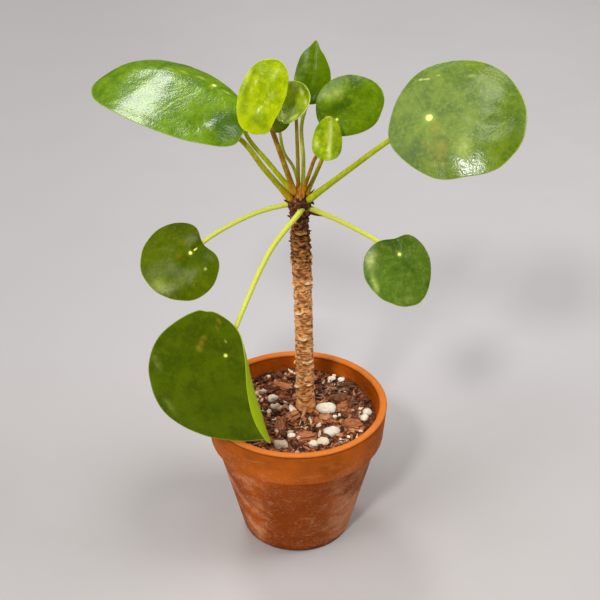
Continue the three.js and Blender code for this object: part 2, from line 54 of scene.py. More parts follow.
# %% Camera
CAMERA_SPOT = Vector((1.95, -669.2, 574))
CAMERA_DOWN = math.radians(31.54)
SENSOR_WIDTH = 36
FOCAL_LENGTH = 81.1
NEAREST_SEEN = 0.05

camera_data = bpy.data.cameras.new("camera")
camera_data.sensor_width = SENSOR_WIDTH
camera_data.lens = FOCAL_LENGTH
camera_data.clip_start = NEAREST_SEEN
camera = bpy.data.objects.new("camera", camera_data)
camera.location = CAMERA_SPOT * MM
camera.rotation_euler = (math.pi / 2 - CAMERA_DOWN, 0, 0)
bpy.context.scene.collection.objects.link(camera)
bpy.context.scene.camera = camera
print("camera at", tuple(round(value, 3) for value in camera.location))

# %% [markdown]
# Most pieces of a plant are skins that wrap round something. One grid can be wrapped into all of
# them: its two directions become "round" and "along", and a rule says where each corner goes.
# The seam and the poles are closed afterwards by merging the corners that meet.

# %% Helper for skins
MERGE = 1e-4
GRID_HALF = 0.5


def wrapped(across, along, rule, *marks):
    """A closed skin from a grid. The rule gets the shares across and along and gives a place,
    and after it one vector for each mark that the corners are to keep."""
    skin = bmesh.new()
    for name in marks:
        skin.verts.layers.float_vector.new(name)
    layers = [skin.verts.layers.float_vector[name] for name in marks]
    bmesh.ops.create_grid(skin, x_segments=across, y_segments=along, size=GRID_HALF)
    for corner in skin.verts:
        found = rule(corner.co.x + GRID_HALF, corner.co.y + GRID_HALF)
        spot, *kept = found if marks else (found,)
        corner.co = spot
        for layer, value in zip(layers, kept):
            corner[layer] = value
    bmesh.ops.remove_doubles(skin, verts=skin.verts, dist=MERGE)
    bmesh.ops.dissolve_degenerate(skin, edges=skin.edges, dist=MERGE / 2)
    bmesh.ops.recalc_face_normals(skin, faces=skin.faces)
    return skin


print("corners nearer than", MERGE, "mm become one")

# %% [markdown]
# Every shape is drawn in millimetres and becomes a piece in one way. It is scaled to metres, gets a name, and
# hides the CAD node that it stands for. The small rules of numbers below it are used all over the plant.

# %% Helpers for pieces and numbers
def place(shape, name, slot, *nodes, smooth=True):
    """Turns a shape in millimetres into a piece that rides on the plant."""
    bmesh.ops.scale(shape, vec=(MM, MM, MM), verts=shape.verts)
    mesh = bpy.data.meshes.new(name)
    shape.to_mesh(mesh)
    shape.free()
    if smooth:
        mesh.shade_smooth()
    piece = bpy.data.objects.new(name, mesh)
    bpy.context.scene.collection.objects.link(piece)
    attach(piece, "root")
    if nodes:
        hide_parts(*nodes)
    print(name, len(mesh.polygons), "faces")
    return piece


def reached(value, full):
    """Rises evenly from 0 to 1 while value goes from 0 to full, and stays there."""
    return min(1, max(0, value / full))


def smoothstep(value, low, high):
    """Rises softly from 0 at low to 1 at high."""
    share = min(1, max(0, (value - low) / (high - low)))
    return share * share * (3 - 2 * share)


def hump(away, width):
    """1 in the middle, and fading to both sides over a width."""
    return math.exp(-((away / width) ** 2))


def polar(radius, around, height=0.0):
    return Vector((radius * math.cos(around), radius * math.sin(around), height))


print("a quarter of the way up a soft step:", smoothstep(0.25, 0, 1))

# %% [markdown]
# Finishes are node networks. Written as node calls they are hard to read, so one small class
# wraps a socket: adding or multiplying two of them adds the Math node that does it.

# %% Wires
class Wire:
    """A value that runs through a finish."""

    def __init__(self, finish, socket):
        self.finish = finish
        self.socket = socket

    def maths(self, operation, *values):
        return self.finish.node("ShaderNodeMath", {"operation": operation}, dict(enumerate(values)))

    def __add__(self, other):
        return self.maths("ADD", self, other)

    __radd__ = __add__

    def __mul__(self, other):
        return self.maths("MULTIPLY", self, other)

    __rmul__ = __mul__

    def __sub__(self, other):
        return self.maths("SUBTRACT", self, other)

    def __rsub__(self, other):
        return self.maths("SUBTRACT", other, self)

    def __truediv__(self, other):
        return self.maths("DIVIDE", self, other)

    def __pow__(self, other):
        return self.maths("POWER", self, other)

    def sine(self):
        return self.maths("SINE", self)

    def absolute(self):
        return self.maths("ABSOLUTE", self)

    def ramp(self, low, high, to_low=0.0, to_high=1.0):
        """Soft step from to_low at low to to_high at high."""
        sockets = {"Value": self, "From Min": low, "From Max": high, "To Min": to_low, "To Max": to_high}
        return self.finish.node("ShaderNodeMapRange", {"interpolation_type": "SMOOTHSTEP"}, sockets)


print("a wire can:", ", ".join(name.strip("_") for name, value in vars(Wire).items() if callable(value)))

# %% [markdown]
# A finish is a material with its Principled shader. Nearly all of them are painted the same way, as
# a painter would: a ground colour, and coats over it, each with a colour, a place and a strength.
# The place comes from noise, from where a spot is, or from what the corners of a piece remember.

# %% Finishes
OBJECT_PLACE = 3  # output of Texture Coordinate
VECTOR, FACTOR = 1, 2  # outputs of Attribute
MIX_SHARE, MIX_FIRST, MIX_SECOND = 0, 6, 7  # inputs of Mix for colours
MIX_COLOUR = 2  # its output


class Finish:
    """A material and its shader."""

    def __init__(self, name):
        self.material = bpy.data.materials.new(name)
        self.material.use_nodes = True
        self.tree = self.material.node_tree
        self.shader = self.tree.nodes["Principled BSDF"]

    def node(self, kind, settings=None, sockets=None, output=0):
        made = self.tree.nodes.new(kind)
        for key, value in (settings or {}).items():
            setattr(made, key, value)
        for key, value in (sockets or {}).items():
            self.feed(made.inputs[key], value)
        return Wire(self, made.outputs[output])

    def feed(self, socket, value):
        if isinstance(value, Wire):
            self.tree.links.new(value.socket, socket)
        else:
            socket.default_value = value

    def surface(self, **values):
        """Sets sockets of the shader by name, with _ for a space."""
        for key, value in values.items():
            self.feed(self.shader.inputs[key.replace("_", " ")], value)
        return self.material

    def place(self):
        return self.node("ShaderNodeTexCoord", output=OBJECT_PLACE)

    def attribute(self, name, output):
        return self.node("ShaderNodeAttribute", {"attribute_name": name}, output=output)

    def split(self, vector):
        made = self.node("ShaderNodeSeparateXYZ", sockets={0: vector})
        return [Wire(self, output) for output in made.socket.node.outputs]

    def scaled(self, vector, factors):
        return self.node("ShaderNodeVectorMath", {"operation": "MULTIPLY"}, {0: vector, 1: factors})

    def noise(self, vector, scale, detail=3.0, roughness=0.5, distortion=0.0, squeeze=None):
        """Noise with scale waves in a unit. A squeeze makes it finer in some directions."""
        sockets = {
            "Vector": self.scaled(vector, squeeze) if squeeze else vector,
            "Scale": scale,
            "Detail": detail,
            "Roughness": roughness,
            "Distortion": distortion,
        }
        return self.node("ShaderNodeTexNoise", sockets=sockets)

    def cells(self, vector, scale):
        return self.node("ShaderNodeTexVoronoi", {"feature": "F1"}, {"Vector": vector, "Scale": scale})

    def mix(self, share, first, second):
        """First colour where share is 0, second where it is 1."""
        settings = {"data_type": "RGBA", "blend_type": "MIX"}
        sockets = {MIX_SHARE: share, MIX_FIRST: first, MIX_SECOND: second}
        return self.node("ShaderNodeMix", settings, sockets, output=MIX_COLOUR)

    def coats(self, ground, *coats):
        """Coats over a ground colour. Each is a colour, where it lies, and how strong it is."""
        colour = ground
        for over, share, *strength in coats:
            for factor in strength:
                share = share * factor
            colour = self.mix(share, colour, over)
        return colour

    def bump(self, height, strength, distance_mm, over=None):
        sockets = {"Height": height, "Strength": strength, "Distance": distance_mm * MM}
        if over:
            sockets["Normal"] = over
        return self.node("ShaderNodeBump", sockets=sockets)


def dress(piece, material):
    piece.data.materials.clear()
    piece.data.materials.append(material)
    print(piece.name, "has", len(material.node_tree.nodes), "nodes")


print("a finish can:", ", ".join(name for name, value in vars(Finish).items() if callable(value)))

# %% [markdown]
# Colours are picked as they look on a screen, from 0 to 255, but the shader works with amounts of
# light. A screen bends them by a known curve, straight near black and a power above it, so each
# colour is bent back before it is used.

# %% Colours
SCREEN_FULL = 255
NEAR_BLACK = 0.04045
NEAR_BLACK_SLOPE = 12.92
CURVE_LIFT = 0.055
CURVE_POWER = 2.4


def linear(red, green, blue):
    """A colour given as it looks on a screen, 0 to 255, as the shader needs it."""
    def straight(value):
        share = value / SCREEN_FULL
        if share < NEAR_BLACK:
            return share / NEAR_BLACK_SLOPE
        return ((share + CURVE_LIFT) / (1 + CURVE_LIFT)) ** CURVE_POWER
    return (straight(red), straight(green), straight(blue), 1)


print("middle grey of a screen is", round(linear(128, 128, 128)[0], 3), "of the light")

# %% [markdown]
# The pot is thrown or pressed clay: a tapered body and a thicker collar. A potter's profile turned
# once round the axis is the plain way to make it. The corners are drawn sharp and rounded after
# the turn with bevels, each with its own width, which keeps the profile short.

# %% Pot
POT_HEIGHT = 91.5
RIM_RADIUS = 55
COLLAR_FOOT_RADIUS = 52.9
COLLAR_HEIGHT = 23.4
COLLAR_SLANT = 0.2
BODY_TOP_RADIUS = 50.2
BASE_RADIUS = 33.6
LIP_THICKNESS = 4.6
WALL_THICKNESS = 4.8
FLOOR_THICKNESS = 7
POT_SIDES = 192
ROUNDING_STEPS = 4
RING_FINDING = 1e-3
SHOULDER = POT_HEIGHT - COLLAR_HEIGHT


def body_radius(height):
    return BASE_RADIUS + (BODY_TOP_RADIUS - BASE_RADIUS) * height / SHOULDER


def inner_radius(height):
    below = body_radius(min(height, SHOULDER)) - WALL_THICKNESS
    share = max(0, (height - SHOULDER) / COLLAR_HEIGHT)
    return below + (RIM_RADIUS - LIP_THICKNESS - below) * share


# Corners of the profile: radius, height and rounding
POT_PROFILE = [
    (0, 0, 0),
    (BASE_RADIUS, 0, 2.0),
    (BODY_TOP_RADIUS, SHOULDER, 1.6),
    (COLLAR_FOOT_RADIUS, SHOULDER + COLLAR_SLANT, 1.1),
    (RIM_RADIUS, POT_HEIGHT, 1.1),
    (RIM_RADIUS - LIP_THICKNESS, POT_HEIGHT, 1.7),
    (inner_radius(SHOULDER), SHOULDER, 3.0),
    (inner_radius(FLOOR_THICKNESS), FLOOR_THICKNESS, 2.0),
    (0, FLOOR_THICKNESS, 0),
]


def ring_at(shape, radius, height):
    """The edges of a turned shape that run round it at one corner of its profile."""
    def on_ring(corner):
        level = abs(corner.co.z - height) < RING_FINDING
        return level and abs(corner.co.xy.length - radius) < RING_FINDING
    return [edge for edge in shape.edges if all(on_ring(corner) for corner in edge.verts)]


def pot_shape():
    shape = bmesh.new()
    corners = [shape.verts.new((radius, 0, height)) for radius, height, _ in POT_PROFILE]
    lines = [shape.edges.new(pair) for pair in zip(corners, corners[1:])]
    bmesh.ops.spin(
        shape, geom=corners + lines, cent=(0, 0, 0), axis=(0, 0, 1),
        angle=2 * math.pi, steps=POT_SIDES, use_merge=True, use_duplicate=False,
    )
    bmesh.ops.remove_doubles(shape, verts=shape.verts, dist=MERGE)
    bmesh.ops.recalc_face_normals(shape, faces=shape.faces)
    for radius, height, rounding in POT_PROFILE:
        if rounding:
            bmesh.ops.bevel(
                shape, geom=ring_at(shape, radius, height), offset=rounding, offset_type="OFFSET",
                affect="EDGES", segments=ROUNDING_STEPS, profile=0.5, material=-1,
            )
    return shape


pot = place(pot_shape(), "clay_pot", "terracotta", "pot")

# %% [markdown]
# Water leaves a clay pot through holes in its floor. The photograph can't show them, so three plain
# ones stand round the middle. Each is cut by a Boolean with a drill, and the result is kept as the
# pot's own mesh, so that no drill is left in the scene.

# %% Drain holes
DRAIN_HOLES = 3
DRAIN_RADIUS = 3.5
DRAIN_CIRCLE = 17
DRAIN_START = math.pi / 6
DRILL_SIDES = 32
DRILL_LENGTH = FLOOR_THICKNESS * 3


def drill_at(around):
    drill = bmesh.new()
    bmesh.ops.create_cone(
        drill, cap_ends=True, segments=DRILL_SIDES, radius1=DRAIN_RADIUS * MM,
        radius2=DRAIN_RADIUS * MM, depth=DRILL_LENGTH * MM,
        matrix=Matrix.Translation(polar(DRAIN_CIRCLE, around) * MM),
    )
    mesh = bpy.data.meshes.new("drill")
    drill.to_mesh(mesh)
    drill.free()
    tool = bpy.data.objects.new("drill", mesh)
    bpy.context.scene.collection.objects.link(tool)
    return tool


def drilled(piece):
    """Cuts the drain holes through the floor of the pot."""
    turns = range(DRAIN_HOLES)
    drills = [drill_at(turn * 2 * math.pi / DRAIN_HOLES + DRAIN_START) for turn in turns]
    for tool in drills:
        cut = piece.modifiers.new("drain", "BOOLEAN")
        cut.object = tool
        cut.operation = "DIFFERENCE"
    graph = bpy.context.evaluated_depsgraph_get()
    mesh = bpy.data.meshes.new_from_object(piece.evaluated_get(graph))
    piece.modifiers.clear()
    piece.data = mesh
    for tool in drills:
        bpy.data.objects.remove(tool)
    print("drilled", piece.name, "has", len(mesh.polygons), "faces")


drilled(pot)

# %% [markdown]
# Fired clay is never one colour. It is warmer where it is dry, darker on the body below the collar except on
# its flanks, and salts from the water bloom on the outside as chalky clouds and specks, most of all on the
# lower body. The top of the lip gets a painted highlight with a line of painted shade under its edge, and the
# foot is darker clay with painted shade where it meets the floor.
# Noise of six sizes gives the clouds, puffs, smears and wipes round the pot, the specks and the
# grain. Heights on the pot say how far up each of them reaches.

# %% Terracotta
CLAY = linear(192, 90, 0)
CLAY_DEEP = linear(134, 56, 0)
CLAY_BRIGHT_AND_LIT = linear(236, 138, 58)
BLOOM = linear(232, 178, 136)
CLAY_DARK_AND_SHADE = linear(112, 46, 0)
FOOT_SHADE = linear(52, 24, 6)

# Patterns, with waves per metre
CLAY_CLOUDS = dict(scale=28, detail=4, roughness=0.6)
CLAY_PUFFS = dict(scale=70, detail=6, roughness=0.68, squeeze=(1, 1, 1.3))
CLAY_SMEARS = dict(scale=60, detail=6, roughness=0.7, distortion=0.6, squeeze=(1, 1, 3.2))
CLAY_WIPES = dict(scale=150, detail=5, roughness=0.7, distortion=0.8, squeeze=(1, 1, 2.6))
CLAY_SPECKS = dict(scale=560, detail=4, roughness=0.75, squeeze=(1, 1, 1.8))
CLAY_GRAIN = dict(scale=1400, detail=2)

# Where things start and where they are full, in millimetres from the axis or the foot
OUTER_WALL = (50.8, 52)
FLANKS = (6, 34)
RIGHT_SIDE = (12, 42)
# The top of the lip gets a painted highlight, a line under its edge gets painted shade, and the foot gets
# painted shade
LIP_TOP_HIGHLIGHT = (90.2, 91)
LIP_SHADE_LINE = 89.8
LIP_SHADE_WIDTH = (0.1, 0.6)
COLLAR_UP = (66, 72)
COLLAR_DOWN = (74, 62)
LOWER_DARKENS = (70, 62)
BLOOM_DOWN = (80, 46)
DUST_DOWN = (92, 56)
SCUM_DOWN = (66, 44)
# The foot is darker clay with painted shade, and below it lies a line of painted contact shadow
FOOT_DARK_AND_SHADE = (5, 0.5)
FOOT_SHADOW_LINE = (2.4, 0.5)


def terracotta():
    finish = Finish("terracotta")
    spot = finish.place()
    aside, deep, up = finish.split(spot)
    height = up / MM
    outside = ((aside * aside + deep * deep) ** 0.5 / MM).ramp(*OUTER_WALL)
    flank = (aside / MM).absolute().ramp(*FLANKS, to_low=0.35)
    right = (aside / MM).ramp(*RIGHT_SIDE) * height.ramp(*COLLAR_DOWN)
    cloud = finish.noise(spot, **CLAY_CLOUDS)
    puff = finish.noise(spot, **CLAY_PUFFS)
    smear = finish.noise(spot, **CLAY_SMEARS)
    wipe = finish.noise(spot, **CLAY_WIPES)
    speck = finish.noise(spot, **CLAY_SPECKS)
    grain = finish.noise(spot, **CLAY_GRAIN)
    # Darker on the body below the collar, except on its flanks
    lower_darkening = height.ramp(*LOWER_DARKENS) * flank.ramp(0.9, 0.4)
    bloom = puff.ramp(0.42, 0.7) * cloud.ramp(0.36, 0.6) * height.ramp(*BLOOM_DOWN)
    dust = speck.ramp(0.5, 0.66) * puff.ramp(0.36, 0.56) * height.ramp(*DUST_DOWN)
    scum = wipe.ramp(0.52, 0.66) * puff.ramp(0.4, 0.58) * height.ramp(*SCUM_DOWN)
    # A thin line of painted shade just under the edge of the lip
    line = (height - LIP_SHADE_LINE).absolute().ramp(*LIP_SHADE_WIDTH, to_low=1, to_high=0)
    colour = finish.coats(
        CLAY_DEEP,
        (CLAY, cloud.ramp(0.3, 0.7)),
        (CLAY_BRIGHT_AND_LIT, smear.ramp(0.5, 0.75), 0.35),
        # Painted highlight on the top face of the lip
        (CLAY_BRIGHT_AND_LIT, height.ramp(*LIP_TOP_HIGHLIGHT) * (0.3 + 0.5 * smear)),
        (CLAY_DEEP, lower_darkening * (0.45 + 0.4 * cloud)),
        (CLAY_BRIGHT_AND_LIT, height.ramp(*COLLAR_UP) * outside, 0.12),
        (BLOOM, right * cloud.ramp(0.3, 0.62), 0.42),
        (BLOOM, bloom * flank.ramp(0.3, 1), 0.7),
        (BLOOM, dust * (0.1 + 0.45 * flank)),
        (BLOOM, scum, 0.34),
        (CLAY_DEEP, grain.ramp(0.35, 0.7), 0.16),
        # Painted shade under the edge of the lip
        (CLAY_DARK_AND_SHADE, line, 0.8),
        # Darker clay and painted shade at the foot, then a line of painted contact shadow where it meets the
        # floor
        (CLAY_DARK_AND_SHADE, height.ramp(*FOOT_DARK_AND_SHADE), 0.8),
        (FOOT_SHADE, height.ramp(*FOOT_SHADOW_LINE), 0.85),
    )
    rough = finish.bump(grain, strength=0.25, distance_mm=0.25)
    worn = finish.bump(smear, strength=0.35, distance_mm=0.4, over=rough)
    return finish.surface(
        Base_Color=colour, Roughness=0.7 + 0.2 * bloom, Specular_IOR_Level=0.1, Normal=worn,
    )


dress(pot, terracotta())

# %% [markdown]
# The mix in the pot is a bed of crumbs with larger things lying in it. The bed is one skin: over
# the top, down along the wall of the pot and back across its floor. Its height follows the same
# gentle waves as in the CAD model, with crumbs of three sizes on them.

# %% Bed of the mix
GAP = 0.3
SOIL_LEVEL = 81.5
SOIL_RIPPLE = 0.9
FINE_SHARE = 0.7
BED_SPOKES = 230
BED_ROWS = 130
BED_TOP = 0.74
BED_WALL = 0.94
CRUMB_WAVES = [(0.16, 0.9), (0.42, 0.8), (0.95, 0.45)]  # waves per mm, height in mm


def soil_top(x, y):
    """Height of the bed, by the same two waves as in the CAD model."""
    wide = math.sin(x * 0.11 + 1.3) * math.cos(y * 0.13 - 0.4)
    fine = math.sin(x * 0.47 - y * 0.31) * math.sin(y * 0.53 + x * 0.22 + 2)
    return SOIL_LEVEL + SOIL_RIPPLE * (wide + FINE_SHARE * fine)


def bed_height(x, y):
    """Height of the bed with its crumbs."""
    spot = Vector((x, y, 0))
    return soil_top(x, y) + sum(tall * noise.noise(spot * often) for often, tall in CRUMB_WAVES)


def bed_spot(across, down):
    around = across * 2 * math.pi
    floor = FLOOR_THICKNESS + GAP
    radius = min(1, down / BED_TOP) * (inner_radius(SOIL_LEVEL) - GAP)
    height = bed_height(radius * math.cos(around), radius * math.sin(around))
    if down > BED_TOP:
        sunk = min(1, (down - BED_TOP) / (BED_WALL - BED_TOP))
        height += (floor - height) * sunk
        radius = inner_radius(height) - GAP
    if down > BED_WALL:
        radius *= (1 - down) / (1 - BED_WALL)
    return polar(radius, around, height)


bed = place(wrapped(BED_SPOKES, BED_ROWS, bed_spot), "mix_bed", "potting_mix", "soil")

# %% [markdown]
# Bark chips, pebbles and grit are all lumps: a ball of triangles pushed towards a box or left
# round, stretched, and dented by noise. Each corner remembers where it is in its own lump and how
# light that lump is, so that one finish can give every chip its own grain and colour.

# %% Helpers for lumps
WIDE_DENTS = 1.3
FINE_DENTS = 3.1
SEED_STEPS = (7.3, 3.1, 5.7)


def lump_shape():
    """An empty shape whose corners can hold a tone and a place inside their own lump."""
    shape = bmesh.new()
    shape.verts.layers.float.new("tone")
    shape.verts.layers.float_vector.new("inside")
    return shape


def add_lump(shape, half, turned, spot, tone, fineness=3, squareness=2.0, dents=0.2, seed=0.0):
    """Adds a lump with given half sizes, turned by a matrix and put at a spot."""
    made = bmesh.ops.create_icosphere(shape, subdivisions=fineness, radius=1)["verts"]
    tones = shape.verts.layers.float["tone"]
    insides = shape.verts.layers.float_vector["inside"]
    shift = Vector([seed * step for step in SEED_STEPS])
    for corner in made:
        way = corner.co.copy()
        stretch = sum(abs(value) ** squareness for value in way) ** (-1 / squareness)
        wide = dents * noise.noise(way * WIDE_DENTS + shift)
        fine = dents / 2 * noise.noise(way * FINE_DENTS + shift)
        dent = 1 + wide + fine
        inside = Vector(value * size for value, size in zip(way * stretch * dent, half))
        corner[tones] = tone
        corner[insides] = inside + shift
        corner.co = turned @ inside + spot


def turned_by(x_turn, y_turn, z_turn):
    turns = zip("XYZ", (x_turn, y_turn, z_turn))
    x_way, y_way, z_way = (Matrix.Rotation(turn, 3, axis) for axis, turn in turns)
    return z_way @ y_way @ x_way


print("a turn about two axes:", [round(value, 2) for value in turned_by(0.5, 0, 1).to_euler()])

# %% [markdown]
# What the photograph doesn't place is strewn by chance, but the same way in each run. A draw is a
# number from 0 to 1. The CAD model's own draws are repeated here, so that the larger lumps lie
# where its solids are. Nothing is strewn where the trunk stands.

# %% Helpers for chance
DRAW_MASK = 0xFFFFFFFF
DRAW_STEP = 0x6D2B79F5
TRUNK_FOOT = Vector((5.6, 6.2, 80))


def stream(seed):
    """The same run of draws as in the CAD model, so the lumps lie where its solids are."""
    state = seed

    def draw():
        nonlocal state
        state = (state + DRAW_STEP) & DRAW_MASK
        mixed = ((state ^ (state >> 15)) * (1 | state)) & DRAW_MASK
        mixed = ((mixed + (mixed ^ (mixed >> 7)) * (61 | mixed)) & DRAW_MASK) ^ mixed
        return (mixed ^ (mixed >> 14)) / (DRAW_MASK + 1)

    return draw


def strewn(draw, reach):
    """A spot within reach of the pot's axis, as likely in one place as in another."""
    return polar(reach * math.sqrt(draw()), draw() * 2 * math.pi)


def tossed(chance, x_most, y_most):
    """Turned by chance: about two axes by so many radians at most, and about the third by any."""
    tilts = [chance.uniform(-most, most) for most in (x_most, y_most)]
    return turned_by(*tilts, chance.random() * math.pi)


def clear_of_trunk(spot, room):
    return (spot - TRUNK_FOOT).xy.length > room


print("first draw:", round(stream(11)(), 4))

# %% [markdown]
# The chips and stones that the photograph shows have their own places. The others are strewn by
# the same draws as in the CAD model. A chip is flat and square-edged, in three layers that have
# slid a little, as bark splits. A stone is one round lump.

# %% Bark chips and stones
HOLE_RADIUS = 7.1
CAD_CHIP_THICKNESS = 4.6
LAYER_HALF_THICKNESS = 0.75
LAYERS = 3
LAYER_SHRINK = 0.16
LAYER_STEP = 1.3
LAYER_TONES = 0.12
CHIP_TILT = 0.3
CHIP_RISE = 0.5
STONE_RISE = 0.25
STONE_TALLNESS = 0.42
STREWN_RADIUS = 41
STREWN_CHIPS = 14
STREWN_STONES = 12
# Length, width and tone of a strewn one: the least, and what a full draw adds
CHIP_SIZES = [(6, 6), (4, 3), (0.2, 0.5)]
STONE_SIZES = [(1.5, 1.2), (1.3, 1), (0.3, 0.6)]

# x, y, length, width, turn in degrees, tone
SEEN_CHIPS = [
    (27, 15, 15, 8, 10, 0.35),
    (28, 5, 9, 8, 70, 0.62),
    (-9, 27, 14, 7, -30, 0.75),
    (5, -24, 13, 9, 20, 0.72),
    (34, -15, 13, 9, -15, 0.66),
    (33, -4, 12, 5, -20, 0.2),
    (31, 26, 12, 5, 15, 0.15),
    (-10, -14, 17, 6, 85, 0.55),
    (-3, -4, 8, 7, 40, 0.75),
    (16, -7, 11, 9, 0, 0.85),
]
# x, y, half length, half width, tone, turn in degrees
SEEN_STONES = [
    (18, 3, 6, 3.6, 0.84, -8),
    (-15, 15, 3.4, 2.4, 0.8, 5),
    (-13, 7, 3.2, 2, 0.75, 0),
    (-7, 5, 2.2, 2.2, 0.2, 90),
    (-9, -32, 4.2, 3.2, 0.5, -15),
    (-3, -22, 2.6, 2, 0.85, 0),
    (10, -31, 2.6, 2.8, 0.7, 60),
    (21, -20, 5.2, 3.4, 0.85, 18),
    (16, -29, 4, 2.6, 0.7, 10),
    (43, 1, 3, 2.6, 0.9, 40),
    (41, -6, 2.8, 2.4, 0.85, 70),
    (22, 36, 2.8, 2.4, 0.8, 0),
    (28, 34, 2.2, 2, 0.95, -20),
]


def add_chip(draw, x, y, length, width, turn, tone):
    tilt = [(draw() - 0.5) * CHIP_TILT for _ in range(2)]
    turned = turned_by(tilt[0], tilt[1], math.radians(turn))
    spot = Vector((x, y, soil_top(x, y) + CHIP_RISE))
    for layer in range(LAYERS):
        share = 1 - LAYER_SHRINK * layer
        half = (length / 2 * share, width / 2 * share, LAYER_HALF_THICKNESS)
        up = LAYER_HALF_THICKNESS * LAYER_STEP * layer
        slid = Vector((math.sin(x + layer * 2), math.cos(y + layer * 3), up))
        look = tone + LAYER_TONES * math.sin(x * 3 + layer * 2)
        add_lump(
            chips, half, turned, spot + turned @ slid, look, squareness=2.5, dents=0.75, seed=x + y + layer,
        )


def add_stone(draw, x, y, long, wide, tone, turn=None):
    """A stone lies as drawn, or with its own turn where the photograph shows it."""
    drawn = draw() * math.pi
    turned = turned_by(0, 0, drawn if turn is None else math.radians(turn))
    spot = Vector((x, y, soil_top(x, y) + STONE_RISE * wide))
    half = (long, wide, (long + wide) * STONE_TALLNESS)
    add_lump(stones, half, turned, spot, tone, squareness=2.3, dents=0.28, seed=x - y)


chips = lump_shape()
stones = lump_shape()
draw = stream(11)
for chip in SEEN_CHIPS:
    add_chip(draw, *chip)
for stone in SEEN_STONES:
    add_stone(draw, *stone)
for count in range(STREWN_CHIPS + STREWN_STONES):
    spot = strewn(draw, STREWN_RADIUS)
    size = draw()
    is_chip = count < STREWN_CHIPS
    length, width, tone = (least + more * size for least, more in (CHIP_SIZES if is_chip else STONE_SIZES))
    if clear_of_trunk(spot, HOLE_RADIUS + CAD_CHIP_THICKNESS):
        if is_chip:
            add_chip(draw, spot.x, spot.y, length, width, draw() * 180, tone)
        else:
            add_stone(draw, spot.x, spot.y, length, width, tone)
print("chips and stones so far:", len(chips.faces), "and", len(stones.faces), "faces")

# %% [markdown]
# Between them lies grit too small for the CAD model. The photograph places some of it, and a flat
# pale flake leans on the trunk. Shards of bark are strewn by the hundred, thinner than the chips
# and tipped every way, so that the bed looks loose.

# %% Grit and shards
# x, y, half size, tone
SEEN_GRIT = [
    (23.1, -4.8, 1.7, 1.0), (26.1, -1.4, 1.6, 0.95), (13.4, -13.2, 1.8, 0.8), (26.1, -28.5, 1.7, 0.95),
    (-30.2, 30.2, 1.7, 1.0), (-17.8, 38.6, 1.4, 0.8), (-21, 2.5, 1.5, 0.9), (-17, 1.1, 2.1, 0.75),
    (30.9, -7.5, 1, 0.9), (23.6, 39.2, 1.6, 0.8), (29.3, 37.5, 1.3, 0.7), (39, 4.5, 1.5, 0.9),
    (38.5, -3.2, 1.3, 0.95), (12.5, -30.5, 1.5, 0.6), (-12.3, -29, 1.4, 0.6), (31, -25, 1.3, 0.9),
]
FLAKE_SPOT = Vector((-2.4, 0.8, 84.2))
FLAKE_HALF = (3.1, 3.9, 0.8)
FLAKE_TURNS = (0.5, 0.35, 0.6)
GRIT_FORM = (1, 0.85, 0.75)
GRIT_RISE = 0.4
SHARDS = 130
SHARD_HALVES = [(1.6, 4.4), (0.7, 1.7), (0.35, 0.7)]
SHARD_TIPS = (0.7, 0.5)
SHARD_TONES = (0.15, 0.95)
SHARD_RISE = 0.7
CRUMB_REACH = 46
TRUNK_CLEAR = 6.4

chance = random.Random(7)
for x, y, size, tone in SEEN_GRIT:
    spot = Vector((x, y, bed_height(x, y) + size * GRIT_RISE))
    half = [size * share for share in GRIT_FORM]
    add_lump(stones, half, turned_by(0, 0, x), spot, tone, fineness=2, dents=0.4, seed=x + y)
add_lump(
    stones, FLAKE_HALF, turned_by(*FLAKE_TURNS), FLAKE_SPOT, 0.9, squareness=1.3, dents=0.3, seed=2,
)

for count in range(SHARDS):
    spot = strewn(chance.random, CRUMB_REACH)
    half = [chance.uniform(*sizes) for sizes in SHARD_HALVES]
    turned = tossed(chance, *SHARD_TIPS)
    tone = chance.uniform(*SHARD_TONES)
    inside_pot = spot.length < CRUMB_REACH - half[0]
    if inside_pot and clear_of_trunk(spot, TRUNK_CLEAR + half[0]):
        spot.z = bed_height(spot.x, spot.y) + SHARD_RISE
        add_lump(chips, half, turned, spot, tone, fineness=2, squareness=3.0, dents=0.6, seed=count)

bark_chips = place(chips, "bark_chips", "potting_mix")
stones_and_grit = place(stones, "stones_and_grit", "potting_mix")

# %% [markdown]
# The rest of the bed is crumbs. There are so many that each has only twenty faces, and they are
# left unsmoothed, which looks more like soil. Small ones are far more common than large ones,
# most are dark, and a few are as pale as grit.

# %% Crumbs
CRUMBS = 1900
CRUMB_LEAST = 0.45
CRUMB_MORE = 1.25
CRUMB_RARITY = 2.2
CRUMB_FORMS = [(0.9, 2.6), (0.6, 1), (0.35, 0.7)]
CRUMB_TIPS = (0.5, 0.5)
CRUMB_RISE = 0.3
DARK_CRUMBS = 0.93
DARK_TONE = 0.75
DARK_RARITY = 1.3

crumbs = lump_shape()
for count in range(CRUMBS):
    spot = strewn(chance.random, CRUMB_REACH)
    size = CRUMB_LEAST + CRUMB_MORE * chance.random() ** CRUMB_RARITY
    half = [size * chance.uniform(*form) for form in CRUMB_FORMS]
    turned = tossed(chance, *CRUMB_TIPS)
    is_dark = chance.random() < DARK_CRUMBS
    tone = DARK_TONE * chance.random() ** DARK_RARITY if is_dark else 1.0
    if clear_of_trunk(spot, TRUNK_CLEAR):
        spot.z = bed_height(spot.x, spot.y) + size * CRUMB_RISE
        add_lump(crumbs, half, turned, spot, tone, fineness=1, dents=1.1, seed=count)
crumbs_on_bed = place(crumbs, "crumbs", "potting_mix", smooth=False)

# %% [markdown]
# A stalk, a fibre and a dry scale are all bars along a path, with a thickness that changes. The
# same wrapped grid makes them. Each ring of corners stands square to the path, and the frame of
# the rings is carried along from one to the next so that the bar doesn't twist.

# %% Helpers for bars
PATH_STEP = 0.01
ENDING_ROWS = 3
LEAST_STEP = 1e-4


